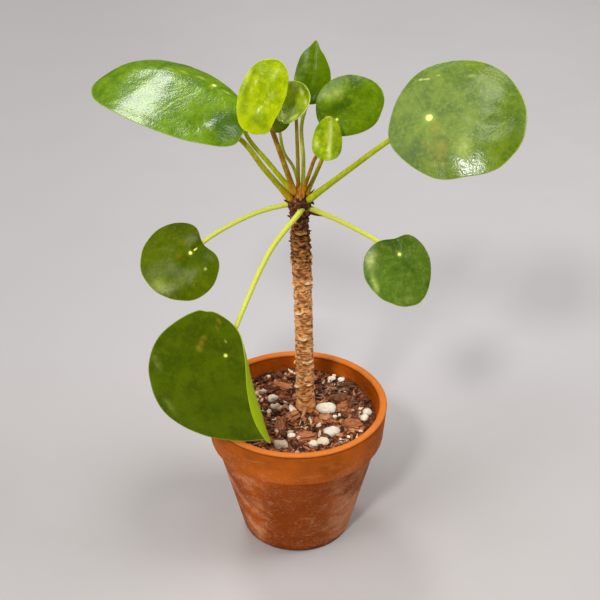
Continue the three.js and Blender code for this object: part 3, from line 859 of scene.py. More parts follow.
def bar(path, thickness, sides, rows, flat=1.0, marks=Vector()):
    """A bar with rounded ends. Path and thickness are rules of the share along it. Its corners
    keep the marks, with the share along the bar as their first number."""
    shares = [row / rows for row in range(rows + 1)]
    middle = [path(share) for share in shares]
    ways = [(path(min(1, s + PATH_STEP)) - path(max(0, s - PATH_STEP))).normalized() for s in shares]
    across = ways[0].orthogonal().normalized()
    frames = []
    for way in ways:
        across = (across - way * across.dot(way)).normalized()
        frames.append((across, way.cross(across)))

    def spot(turn, along):
        row = round(along * rows)
        first, second = frames[row]
        angle = turn * 2 * math.pi
        ending = min(1, min(row, rows - row) / ENDING_ROWS)
        radius = thickness(along) * math.sin(ending * math.pi / 2)
        place_on = middle[row] + (first * math.cos(angle) + second * math.sin(angle) * flat) * radius
        return place_on, Vector((along, marks.y, marks.z))

    return wrapped(sides, rows, spot, "marks")


def gather(shape, more):
    """Adds the corners and faces of one shape to another."""
    mesh = bpy.data.meshes.new("more")
    more.to_mesh(mesh)
    more.free()
    shape.from_mesh(mesh)
    bpy.data.meshes.remove(mesh)


def smooth_path(points):
    """A centripetal Catmull-Rom curve through points, as the CAD model draws it."""
    ends = [points[0] * 2 - points[1]] + points + [points[-1] * 2 - points[-2]]

    def path(share):
        place_on = share * (len(points) - 1)
        piece = min(int(place_on), len(points) - 2)
        x0, x1, x2, x3 = ends[piece:piece + 4]
        pairs = ((x0, x1), (x1, x2), (x2, x3))
        t0, t1, t2 = (max(LEAST_STEP, math.sqrt((b - a).length)) for a, b in pairs)
        leave = ((x1 - x0) / t0 - (x2 - x0) / (t0 + t1) + (x2 - x1) / t1) * t1
        reach = ((x2 - x1) / t1 - (x3 - x1) / (t1 + t2) + (x3 - x2) / t2) * t1
        t = place_on - piece
        cubic = (x1 - x2) * 2 + leave + reach
        square = (x2 - x1) * 3 - leave * 2 - reach
        return x1 + leave * t + square * t * t + cubic * t * t * t

    return path


def through(*spots):
    """The places that a path runs through."""
    return [Vector(spot) for spot in spots]


trial = bar(smooth_path(through((0, 0, 0), (0, 1, 4), (0, 3, 7))), lambda share: 1, 8, 12)
print("a trial bar has", len(trial.faces), "faces")
trial.free()

# %% [markdown]
# Root fibres lie over the mix in shallow arcs. Most are scattered, and a few are where the
# photograph shows a tuft behind the trunk to the right. Each wanders a few steps over the bed,
# turning a little at every step, and gets thinner towards its end.

# %% Fibres
FIBRES = 54
TUFT = Vector((25, 24, 0))
TUFT_RADIUS = 6
TUFT_FIBRES = 16
FIBRE_REACH = 40
FIBRE_STEPS = 5
FIBRE_LIFT = 1.2
FIBRE_ARCH = 1.6
FIBRE_TURN = 0.7
FIBRE_STEP = (1.4, 2.8)
FIBRE_RADIUS = 0.26
FIBRE_THINNING = 0.16


def fibre_radius(share):
    return FIBRE_RADIUS - FIBRE_THINNING * share


chance = random.Random(5)
fibres = bmesh.new()
for count in range(FIBRES):
    if count < TUFT_FIBRES:
        start = TUFT + polar(TUFT_RADIUS * chance.random(), chance.random() * 2 * math.pi)
    else:
        start = strewn(chance.random, FIBRE_REACH)
    heading = chance.random() * 2 * math.pi
    stations = []
    for step in range(FIBRE_STEPS):
        along = step / (FIBRE_STEPS - 1)
        arch = FIBRE_LIFT + FIBRE_ARCH * math.sin(along * math.pi) * chance.random()
        stations.append(Vector((start.x, start.y, bed_height(start.x, start.y) + arch)))
        heading += chance.uniform(-FIBRE_TURN, FIBRE_TURN)
        start = start + polar(chance.uniform(*FIBRE_STEP), heading)
    inside_pot = all(station.xy.length < CRUMB_REACH for station in stations)
    if inside_pot and all(clear_of_trunk(station, TRUNK_CLEAR) for station in stations):
        gather(fibres, bar(smooth_path(stations), fibre_radius, 5, 12))
root_fibres = place(fibres, "root_fibres", "potting_mix")

# %% [markdown]
# The mix is dark, reddish and dull. Every lump takes its colour from its tone: bark from nearly
# black to fox red, stones from tan to chalk white. Noise shifts the tone within a lump, and bark
# has its grain along its length, because its noise is squeezed across it.

# %% Finishes of the mix
SOIL_DARK = linear(44, 22, 12)
SOIL_BROWN = linear(128, 68, 36)
BARK_DARK = linear(78, 40, 20)
BARK_RED = linear(186, 112, 64)
BARK_PALE = linear(220, 162, 116)
STONE_TAN = linear(206, 146, 92)
STONE_PINK = linear(206, 178, 152)
STONE_CREAM = linear(240, 221, 192)
STONE_WHITE = linear(255, 246, 226)
FIBRE_BROWN = linear(120, 84, 58)
FIBRE_PALE = linear(214, 184, 150)
ALONG_BARK = (0.35, 1.6, 1.6)


def toned(tone, pattern, strength):
    """A tone that a pattern shifts up and down by up to half its strength."""
    return tone + (pattern - 0.5) * strength


def bed_finish():
    finish = Finish("mix_bed")
    spot = finish.place()
    patches = finish.noise(spot, 190, detail=4, roughness=0.65)
    flecks = finish.noise(spot, 700, detail=3, roughness=0.6)
    colour = finish.coats(
        SOIL_DARK,
        (SOIL_BROWN, patches.ramp(0.35, 0.65)),
        (BARK_RED, flecks.ramp(0.55, 0.75), 0.5),
    )
    bump = finish.bump(flecks, strength=0.8, distance_mm=0.8)
    return finish.surface(Base_Color=colour, Roughness=0.9, Specular_IOR_Level=0.3, Normal=bump)


def bark_finish():
    finish = Finish("bark_chips")
    inside = finish.attribute("inside", VECTOR)
    tone = finish.attribute("tone", FACTOR)
    grain = finish.noise(inside, 0.9, detail=4, roughness=0.6, squeeze=ALONG_BARK)
    patches = finish.noise(inside, 0.35, detail=2)
    value = toned(toned(tone, grain, 1.2), patches, 0.6)
    colour = finish.coats(
        BARK_DARK,
        (BARK_RED, value.ramp(0.1, 0.75)),
        (BARK_PALE, value.ramp(0.8, 1.25)),
    )
    bump = finish.bump(grain, strength=1.0, distance_mm=1.0)
    roughness = 0.62 + 0.2 * grain
    return finish.surface(Base_Color=colour, Roughness=roughness, Specular_IOR_Level=0.4, Normal=bump)


def stone_finish():
    finish = Finish("stones_and_grit")
    inside = finish.attribute("inside", VECTOR)
    tone = finish.attribute("tone", FACTOR)
    grain = finish.noise(inside, 1.4, detail=3, roughness=0.6)
    pores = finish.noise(inside, 3.5, detail=2)
    dirt = grain.ramp(0.52, 0.7) * 0.24 + pores.ramp(0.6, 0.74) * 0.3
    colour = finish.coats(
        STONE_TAN,
        (STONE_PINK, tone.ramp(0.1, 0.4)),
        (STONE_CREAM, tone.ramp(0.4, 0.7)),
        (STONE_WHITE, tone.ramp(0.62, 0.9)),
        (BARK_RED, dirt),
    )
    bump = finish.bump(grain + 0.6 * pores, strength=0.9, distance_mm=0.8)
    return finish.surface(Base_Color=colour, Roughness=0.72, Specular_IOR_Level=0.4, Normal=bump)


def crumb_finish():
    finish = Finish("crumbs")
    grain = finish.noise(finish.place(), 900, detail=2)
    value = toned(finish.attribute("tone", FACTOR), grain, 0.4)
    colour = finish.coats(
        SOIL_DARK,
        (SOIL_BROWN, value.ramp(0.05, 0.5)),
        (BARK_RED, value.ramp(0.4, 0.8)),
        (STONE_CREAM, value.ramp(0.85, 1.1)),
    )
    bump = finish.bump(grain, strength=0.6, distance_mm=0.3)
    return finish.surface(Base_Color=colour, Roughness=0.85, Specular_IOR_Level=0.3, Normal=bump)


def fibre_finish():
    finish = Finish("root_fibres")
    streaks = finish.noise(finish.place(), 500, detail=2)
    colour = finish.coats(FIBRE_BROWN, (FIBRE_PALE, streaks.ramp(0.35, 0.7)))
    bump = finish.bump(streaks, strength=0.3, distance_mm=0.1)
    return finish.surface(Base_Color=colour, Roughness=0.7, Normal=bump)


dress(bed, bed_finish())
dress(bark_chips, bark_finish())
dress(stones_and_grit, stone_finish())
dress(crumbs_on_bed, crumb_finish())
dress(root_fibres, fibre_finish())

# %% [markdown]
# The trunk is what the plant has grown out of: a bare stem that leans a little, flares at its
# foot, narrows to a neck and ends in a rounded crown. Two rules say where its middle is and how
# thick it is at each height. They follow the CAD model, which has no neck, and so do the uneven
# rings, which are less deep here, because the scars come on top of them.

# %% Trunk
TRUNK_BOTTOM = 62
TRUNK_LEAN = -0.0265
SWAY = 0.25
SWAY_FULL = 20
TRUNK_RADIUS = 5.4
FOOT_FLARE = 0.9
FLARE_FADE = 16
BELLY = 0.45
BELLY_HEIGHT = 190
BELLY_WIDTH = 18
NECK = 0.5
NECK_HEIGHT = 213
NECK_WIDTH = 7
CROWN_BASE = 223
CROWN_BLEND = 5
CROWN_RISE = 9.5
CROWN_RADIUS = 6.5
SCAR_PITCH = 6.6
SCAR_RELIEF = 0.75
SCAR_FIRST = 84
RING_FADE_LOW = 6
RING_FADE_HIGH = 4
RING_SHARE = 0.4


def trunk_axis(height):
    up = height - TRUNK_FOOT.z
    sway = SWAY * math.sin(up * 0.05 - 1.9) * reached(up, SWAY_FULL)
    return Vector((TRUNK_FOOT.x + TRUNK_LEAN * up + sway, TRUNK_FOOT.y, height))


def trunk_radius(height):
    flare = FOOT_FLARE * math.exp(-max(0, height - SOIL_LEVEL) / FLARE_FADE)
    belly = BELLY * hump(height - BELLY_HEIGHT, BELLY_WIDTH)
    neck = NECK * hump(height - NECK_HEIGHT, NECK_WIDTH)
    crown = smoothstep(height, CROWN_BASE - CROWN_BLEND, CROWN_BASE)
    return (TRUNK_RADIUS + flare + belly - neck) * (1 - crown) + CROWN_RADIUS * crown


def rings(height, around):
    """The uneven rings of the CAD model, by the same waves but less deep."""
    fade = reached(height - SCAR_FIRST, RING_FADE_LOW) * reached(CROWN_BASE - height, RING_FADE_HIGH)
    wander = 0.32 * math.sin(around + height * 0.07) + 0.2 * math.sin(2 * around - height * 0.19)
    ridge = abs(math.cos(math.pi * (height / SCAR_PITCH + wander))) ** 3
    knobbly = 0.4 + 0.7 * smoothstep(height, CROWN_BASE - 45, CROWN_BASE - 20)
    lump = knobbly * math.sin(3 * around + height * 0.83) * math.sin(height * 0.57 + around)
    return SCAR_RELIEF * fade * (ridge - 0.5 + lump) * RING_SHARE


for height in (TRUNK_FOOT.z, BELLY_HEIGHT, NECK_HEIGHT, CROWN_BASE):
    print("at", height, "the trunk is", round(2 * trunk_radius(height), 2), "thick")

# %% [markdown]
# Each leaf that fell left a crescent: a pale lip with a hollow under it. The lip is painted lighter still, as
# a highlight, and the hollow is painted dark, as painted shadow. Leaves grow one after the other at the
# golden angle, so the scars are set the same way, 137.5 degrees apart, each a little higher than the last. A
# rule adds up the scars near a spot, so that no scar has to be modelled by hand, and a slow noise warps them
# so that no two are alike.

# %% Scars
GOLDEN_ANGLE = math.radians(137.5)
SCAR_STEP = 3.4
SCARS_BESIDE = 3
WARP_UP = 0.9
WARP_ASIDE = 1.6
WARP_SHIFT = Vector((9, 0, 0))
SCAR_CURVE = 0.09
LIP = 1.15
LIP_FADE_UP = 1.1
LIP_FADE_DOWN = 0.55
HOLLOW_DEPTH = 0.75
HOLLOW_BELOW = 1.5
HOLLOW_WIDTH = 0.7


def scars(height, around):
    """Relief of the scars near a spot, with how pale and lit it is there, as painted highlight on a lip, and
    how shaded, as painted shadow in a hollow.
    """
    relief = pale_and_lit = deep_and_shade = 0.0
    spot = polar(TRUNK_RADIUS, around, height)
    warp_up = WARP_UP * noise.noise(spot * 0.45)
    warp_aside = WARP_ASIDE * noise.noise(spot * 0.3 + WARP_SHIFT)
    nearest = round((height - SCAR_FIRST) / SCAR_STEP)
    for count in range(max(0, nearest - SCARS_BESIDE), nearest + SCARS_BESIDE + 1):
        odd = math.sin(count * 12.9) * 0.5
        level = SCAR_FIRST + SCAR_STEP * count + odd
        turn = math.remainder(around - count * GOLDEN_ANGLE + odd * 0.4, 2 * math.pi)
        aside = turn * TRUNK_RADIUS + warp_aside
        over = height + warp_up - level - (SCAR_CURVE + 0.06 * odd) * aside * aside
        fade = 1 - smoothstep(abs(aside), 2.8 + 2 * odd, 5.2 + 2 * odd)
        tall = 0.7 + 0.6 * math.sin(count * 5.1)
        lip = fade * hump(over, LIP_FADE_UP if over > 0 else LIP_FADE_DOWN) * tall
        hollow = fade * hump(over + HOLLOW_BELOW, HOLLOW_WIDTH)
        relief += LIP * lip - HOLLOW_DEPTH * hollow
        # The lip is pale and gets a painted highlight; the hollow under it gets painted shadow
        pale_and_lit = max(pale_and_lit, lip)
        deep_and_shade = max(deep_and_shade, hollow)
    return relief, pale_and_lit, deep_and_shade


print("scars up the trunk:", int((CROWN_BASE - SCAR_FIRST) / SCAR_STEP))

# %% [markdown]
# The trunk's skin is a wrapped grid with three stretches: a plain stub down in the mix, the bark that is
# seen, and the dome of the crown. Up the bark the roughness grows with age, and thin ridges of noise give the
# knobs under the crown. The corners keep how pale and how dark the bark is there, with painted highlight on
# lips and knob ridges and painted shade in hollows. They also keep how old the bark is, because the finish
# can't work that out from a place alone.

# %% Skin of the trunk
TRUNK_SPOKES = 120
TRUNK_ROWS = 540
STUB_SHARE = 0.02
DOME_SHARE = 0.05
OLD_BARK = (168, 196)
BARK_ROUND = 5
WRINKLE_SQUASH = 0.2
KNOB_SQUASH = 0.3
SET_BACK = 0.15
DOME_ROUND = 3
DOME_BUMPS = 0.16


def stub_skin(up):
    height = TRUNK_BOTTOM + (TRUNK_FOOT.z - TRUNK_BOTTOM) * up / STUB_SHARE
    return height, trunk_radius(height) * min(1, up / STUB_SHARE * 3), Vector((0, 0, 0))


def bark_skin(up, around):
    share = (up - STUB_SHARE) / (1 - DOME_SHARE - STUB_SHARE)
    height = TRUNK_FOOT.z + (CROWN_BASE - TRUNK_FOOT.z) * share
    age = smoothstep(height, *OLD_BARK)
    end = min(1, share * 12, (1 - share) * 40)
    relief, pale_and_lit, deep_and_shade = scars(height, around)
    bark = Vector((math.cos(around) * BARK_ROUND, math.sin(around) * BARK_ROUND, height))
    wrinkled = noise.noise(Vector((bark.x * WRINKLE_SQUASH, bark.y * WRINKLE_SQUASH, height * 1.3)))
    rough = noise.noise(bark * 0.65) * (0.25 + 0.5 * age) + noise.noise(bark * 1.6) * (0.14 + 0.2 * age)
    ridged = noise.noise(Vector((bark.x * KNOB_SQUASH, bark.y * KNOB_SQUASH, height * 0.62)))
    knob = 0.45 - 2 * abs(ridged)
    # Knob ridges get painted highlight, and the hollows between them get painted shade
    pale_and_lit = max(pale_and_lit, smoothstep(knob, 0.1, 0.45) * 0.6)
    deep_and_shade = max(deep_and_shade, smoothstep(-knob, 0, 0.4) * 0.8)
    radius = trunk_radius(height) - SET_BACK + rings(height, around)
    radius += knob * (0.18 + 0.6 * age)
    radius += (relief * (0.6 + 0.45 * age) + rough + 0.26 * wrinkled - 0.1 * age) * end
    return height, radius, Vector((pale_and_lit * end, deep_and_shade * end, age))


def dome_skin(up, around):
    turn = (up - 1 + DOME_SHARE) / DOME_SHARE * math.pi / 2
    height = CROWN_BASE + CROWN_RISE * math.sin(turn)
    side = (math.cos(around) * DOME_ROUND, math.sin(around) * DOME_ROUND)
    bumps = noise.noise(Vector((*side, height * 0.8)))
    return height, CROWN_RADIUS * math.cos(turn) * (1 + DOME_BUMPS * bumps), Vector((0, 0, 1))


def trunk_spot(across, up):
    around = across * 2 * math.pi
    if up < STUB_SHARE:
        height, radius, marks = stub_skin(up)
    elif up < 1 - DOME_SHARE:
        height, radius, marks = bark_skin(up, around)
    else:
        height, radius, marks = dome_skin(up, around)
    axis = trunk_axis(min(height, CROWN_BASE))
    return Vector((axis.x, axis.y, 0)) + polar(radius, around, height), marks


trunk_shape = wrapped(TRUNK_SPOKES, TRUNK_ROWS, trunk_spot, "marks")
print("skin of the trunk:", len(trunk_shape.faces), "faces")

# %% [markdown]
# The crown is ragged. Papery scales stay behind where the leaves were, and small dry nubs stand
# out from the sides of the trunk. They are short bars grown out of it, and so is the root that
# runs over the mix at its foot. Thirty more scales form a collar, set at the golden angle.

# %% Scales, nubs and the root at the foot
DRY_SCALES = [
    ((-2.4, 5.4, 224.6), (-7.6, 4.6, 226.4), 1.5),
    ((5, 8.4, 226.4), (10.6, 8.4, 231.6), 1.0),
    ((3, 6.6, 220.4), (17.4, 4.6, 215.8), 1.8),
    ((4.2, 1.2, 227.6), (0.6, -3.2, 224.2), 2.1),
    ((3.6, 1.4, 228.2), (4.4, -2.2, 225.6), 1.6),
    ((1.2, 2.6, 228), (-2.6, 0.6, 225.4), 1.7),
    ((-0.6, 5.6, 227), (-4.2, 5.4, 223.8), 1.7),
    ((7.4, 5.2, 226.6), (10.2, 5.6, 222.6), 1.6),
    ((5.6, 2.6, 227.4), (8.2, 1.2, 224.8), 1.5),
]
# height, compass angle in degrees, length
NUBS = [
    (198.9, 180, 2.2), (188.4, 182, 1.5), (205.4, 2, 1.9), (216.9, 178, 2.0), (169.6, 181, 1.4),
    (169.6, 0, 1.6), (211, -70, 1.6), (193, -110, 1.6), (203, -50, 1.8), (181, -20, 1.3),
    (208, 60, 1.8), (196, 100, 1.6), (186, 140, 1.4), (176, 40, 1.3), (162, 90, 1.1),
]
DRY_MARKS = Vector((0, 0.9, 1))
NUB_SUNK = 0.8
NUB_RISE = Vector((0, 0, 0.4))
COLLAR_SCALES = 30
COLLAR_SUNK = 1.6
COLLAR_HEIGHTS = (214, 226)
COLLAR_LENGTHS = (1.6, 2.5)
COLLAR_RISES = (-1, 2)
COLLAR_WIDTHS = (1.1, 1.9)
SPIKE_SAG = 0.08
SPIKE_THINNING = 0.85
ROOT = through((5.4, 3.5, 85.5), (4.7, -0.8, 84.2), (3.4, -5, 82.8), (1.3, -12, 81.2))
ROOTLETS = [
    through((3.8, -3.6, 83.2), (5, -7, 82.6), (4.6, -11, 82)),
    through((-1.6, -1, 83.6), (-4.2, -4, 82.9), (-5, -7.6, 82)),
    through((9.6, 0.6, 83.8), (13, -1.6, 83), (15, -5, 82.2)),
]
ROOT_MARKS = Vector((0, 0.7, 0))


def spike(foot, tip, thickness, flat=0.55, marks=Vector((0, 0, 0))):
    """A short bar that gets thinner to its tip and sags a little."""
    bend = Vector((0, 0, (tip - foot).length * SPIKE_SAG))
    path = smooth_path([foot, (foot + tip) / 2 - bend, tip])
    return bar(path, lambda share: thickness * (1 - SPIKE_THINNING * share), 8, 12, flat, marks=marks)


def root_radius(share):
    return 2.1 * (1 - share) ** 1.5 + 0.3


def rootlet_radius(share):
    return 0.75 - 0.5 * share


for foot, tip, thickness in DRY_SCALES:
    gather(trunk_shape, spike(Vector(foot), Vector(tip), thickness, marks=DRY_MARKS))
for height, compass, length in NUBS:
    out = polar(1, math.radians(compass))
    foot = trunk_axis(height) + out * (trunk_radius(height) - NUB_SUNK)
    gather(trunk_shape, spike(foot, foot + out * length + NUB_RISE, 1.0, 0.8, DRY_MARKS))
chance = random.Random(3)
for count in range(COLLAR_SCALES):
    out = polar(1, count * GOLDEN_ANGLE)
    height = chance.uniform(*COLLAR_HEIGHTS)
    foot = trunk_axis(height) + out * (CROWN_RADIUS - COLLAR_SUNK)
    tip = foot + out * chance.uniform(*COLLAR_LENGTHS) + Vector((0, 0, chance.uniform(*COLLAR_RISES)))
    gather(trunk_shape, spike(foot, tip, chance.uniform(*COLLAR_WIDTHS), 0.5))
gather(trunk_shape, bar(smooth_path(ROOT), root_radius, 10, 24, marks=ROOT_MARKS))
for path in ROOTLETS:
    gather(trunk_shape, bar(smooth_path(path), rootlet_radius, 6, 16, marks=ROOT_MARKS))
trunk = place(trunk_shape, "trunk_bark", "bark", "trunk")

# %% [markdown]
# Bark colour follows age: tan and dry below, nearly black just under the crown, and mixed in between. The
# marks kept by the corners say where a scar is pale and lit, with painted highlight, and where it is hollow,
# with painted shadow. Dry scales and the root are marked dark for their own colour. So the bark is painted
# twice, young and old, and age chooses between the two.

# %% Bark finish
TAN_WARM = linear(255, 172, 96)
TAN_DEEP = linear(196, 112, 50)
LIP_PALE_AND_LIT = linear(255, 226, 170)
HOLLOW_SHADOW = linear(92, 42, 18)
OLD_LIP_PALE_AND_LIT = linear(228, 166, 96)
OLD_BROWN = linear(184, 114, 48)
OLD_DARK = linear(64, 30, 10)
CROWN_DARK = linear(62, 32, 28)

# From where to where up the trunk, in mm
AGEING = (168, 193)
AGEING_SPREAD = 50
FOOT_DEEPER = (120, 88)
CROWN_DARKENS = (206, 216)


def trunk_finish():
    finish = Finish("trunk_bark")
    spot = finish.place()
    pale_and_lit, deep_and_shade, _ = finish.split(finish.attribute("marks", VECTOR))
    height = finish.split(spot)[2] / MM
    patches = finish.noise(spot, 240, detail=4, roughness=0.65)
    streaks = finish.noise(spot, 240, detail=4, roughness=0.6, squeeze=(1, 1, 2.4))
    age = toned(height, patches, AGEING_SPREAD).ramp(*AGEING)
    young = finish.coats(
        TAN_DEEP,
        (TAN_WARM, patches.ramp(0.35, 0.65)),
        (LIP_PALE_AND_LIT, streaks.ramp(0.5, 0.72), 0.25),
        (TAN_DEEP, height.ramp(*FOOT_DEEPER), 0.3),
    )
    old = finish.coats(OLD_DARK, (OLD_BROWN, streaks.ramp(0.4, 0.68)))
    colour = finish.coats(
        young,
        (old, age),
        # Pale lips and knob ridges with painted highlight, hollows with painted shadow, and the dark of dry
        # scales and the root
        (finish.mix(age, LIP_PALE_AND_LIT, OLD_LIP_PALE_AND_LIT), pale_and_lit * (0.9 - 0.3 * age)),
        (finish.mix(age, HOLLOW_SHADOW, OLD_DARK), deep_and_shade * (0.75 + 0.15 * age)),
        (CROWN_DARK, height.ramp(*CROWN_DARKENS) * streaks.ramp(0.7, 0.45), 0.85),
    )
    bump = finish.bump(streaks + 0.6 * patches, strength=0.6, distance_mm=0.6)
    return finish.surface(Base_Color=colour, Roughness=0.8, Specular_IOR_Level=0.22, Normal=bump)


dress(trunk, trunk_finish())

# %% [markdown]
# The growing point is a papery brown sheath, pressed between the feet of the stalks. It is a
# wrapped grid: pointed at both ends, full in its lower half and drawn in between its ribs. Three
# inner scales are bars that stand round it.

# %% Bud
BUD_FOOT = Vector((1.9, 1.9, 226.8))
BUD_TIP = Vector((2.5, 2.3, 237))
BUD_WIDE = 2.2
BUD_DEEP = 1.6
BUD_RIBS = 5
BUD_RIB_RELIEF = 0.2
BUD_BROWN = linear(150, 88, 10)
BUD_ORANGE = linear(208, 138, 26)
BUD_SCALES = [
    ((0.4, 2.2, 227.6), (-1.4, 3.6, 235.8), 1.2),
    ((3.6, 2.0, 227.6), (4.4, 3.0, 233.6), 1.2),
    ((2.2, 0.8, 227.2), (2.9, 1.4, 232.4), 1.3),
]


def bud_spot(across, up):
    around = across * 2 * math.pi
    belly = math.sin(math.pi * min(1, up * 1.02) ** 0.8) ** 0.75
    rib = 1 + BUD_RIB_RELIEF * math.cos(BUD_RIBS * around + 3 * up)
    middle = BUD_FOOT.lerp(BUD_TIP, up)
    return middle + Vector((BUD_WIDE * math.cos(around), BUD_DEEP * math.sin(around), 0)) * belly * rib


bud_shape = wrapped(48, 40, bud_spot)
for foot, tip, thickness in BUD_SCALES:
    gather(bud_shape, spike(Vector(foot), Vector(tip), thickness, 0.6))
bud = place(bud_shape, "bud_sheath", "bud", "bud")


def bud_finish():
    finish = Finish("bud_sheath")
    streaks = finish.noise(finish.place(), 260, detail=3, squeeze=(4, 4, 1))
    colour = finish.coats(BUD_BROWN, (BUD_ORANGE, streaks.ramp(0.3, 0.7)))
    bump = finish.bump(streaks, strength=0.4, distance_mm=0.3)
    return finish.surface(Base_Color=colour, Roughness=0.5, Normal=bump)


dress(bud, bud_finish())

# %% [markdown]
# Every leaf is the same thing in another size: a slightly fleshy disc that its stalk holds from
# below, near the middle, where it dips. The list says where the joint is, which way the upper
# face looks, how the blade is turned in its plane, how big it is, and where it bends.
# A place on a blade has two numbers in millimetres: u runs from the joint to the tip, v to the
# left of that.

# %% What a leaf is
BLADE_THICKNESS = 0.9
DIMPLE_DEPTH = 1
DIMPLE_RADIUS = 6

# What a leaf has unless its own line says more
PLAIN_LEAF = {
    "egg": 0,  # how much narrower it is towards its tip
    "tip": 0,  # how far the tip stands out in mm, and next how sharp it is
    "sharp": 10,
    "notch": 0,  # how far the edge behind the joint moves back in, in mm
    "wave": 0,  # how high the edge waves in mm, and next where a wave begins
    "phase": 0,
    "lobes": [],  # soft swellings of the edge: direction, width in degrees, mm
    "curl": 0,  # how far the edge turns up in mm
    "keel": 0,  # how far the middle line stands up in mm
    "folds": [],  # creases: from u, v to u, v, width and height
    # Marks and painted light: pale marks and painted highlights, tan scars, deep marks and painted shade
    "marks_and_light": [],  # marks: kind, u, v, half width along u and along v, strength
    "finish": "leaf_green",  # slot of the record, and next a look of its own, if any
    "look": None,
    "dot": 1.5,  # radius of the pale dot in mm, and next where it is
    "dot_at": (0, 0),
    "tint": 0.2,  # how red its stalk is, from 0 to 1
    "rooted": None,  # other first two places of its stalk, where the photograph asks for them
}


def leaf(at, facing, turn, length, left, right, ahead, bends, stalk, **more):
    """One leaf: joint, compass angle and height that it faces, turn in its plane, length, widths
    to both sides, how far its middle lies ahead of the joint, bends, and its stalk, which is two
    radii and the places it runs through."""
    own = dict(
        at=Vector(at), facing=facing, turn=turn, length=length, left=left, right=right, ahead=ahead,
        bends=bends, thick=stalk[0], thin=stalk[1], path=through(*stalk[2:]),
    )
    return {**PLAIN_LEAF, **own, **more}


print("a leaf has", len(PLAIN_LEAF), "things that may be left out")

# %% [markdown]
# No leaf is clean or even. The big left one has creases and a lobe that droops, and all the large ones have
# marks: pale patches, most of them painted highlights and glints, tan scars, and deeper patches, most of them
# painted shade. They are listed for each leaf by place and size, as a retoucher would note them, because
# noise alone puts them nowhere special.

# %% Creases, marks and painted light
# Creases of the big left leaf, and its drooping lobe: from u, v to u, v, width and height
LEFT_DOME_FOLDS = [
    (60, -13, 42, -22.5, 2.6, 0.2),
    (45, -22, 20, -25.5, 2.6, 0.25),
    (24, -25.5, -6, -24, 2.6, 0.4),
    (-22, -6, -12, 12, 9, -0.9),
]

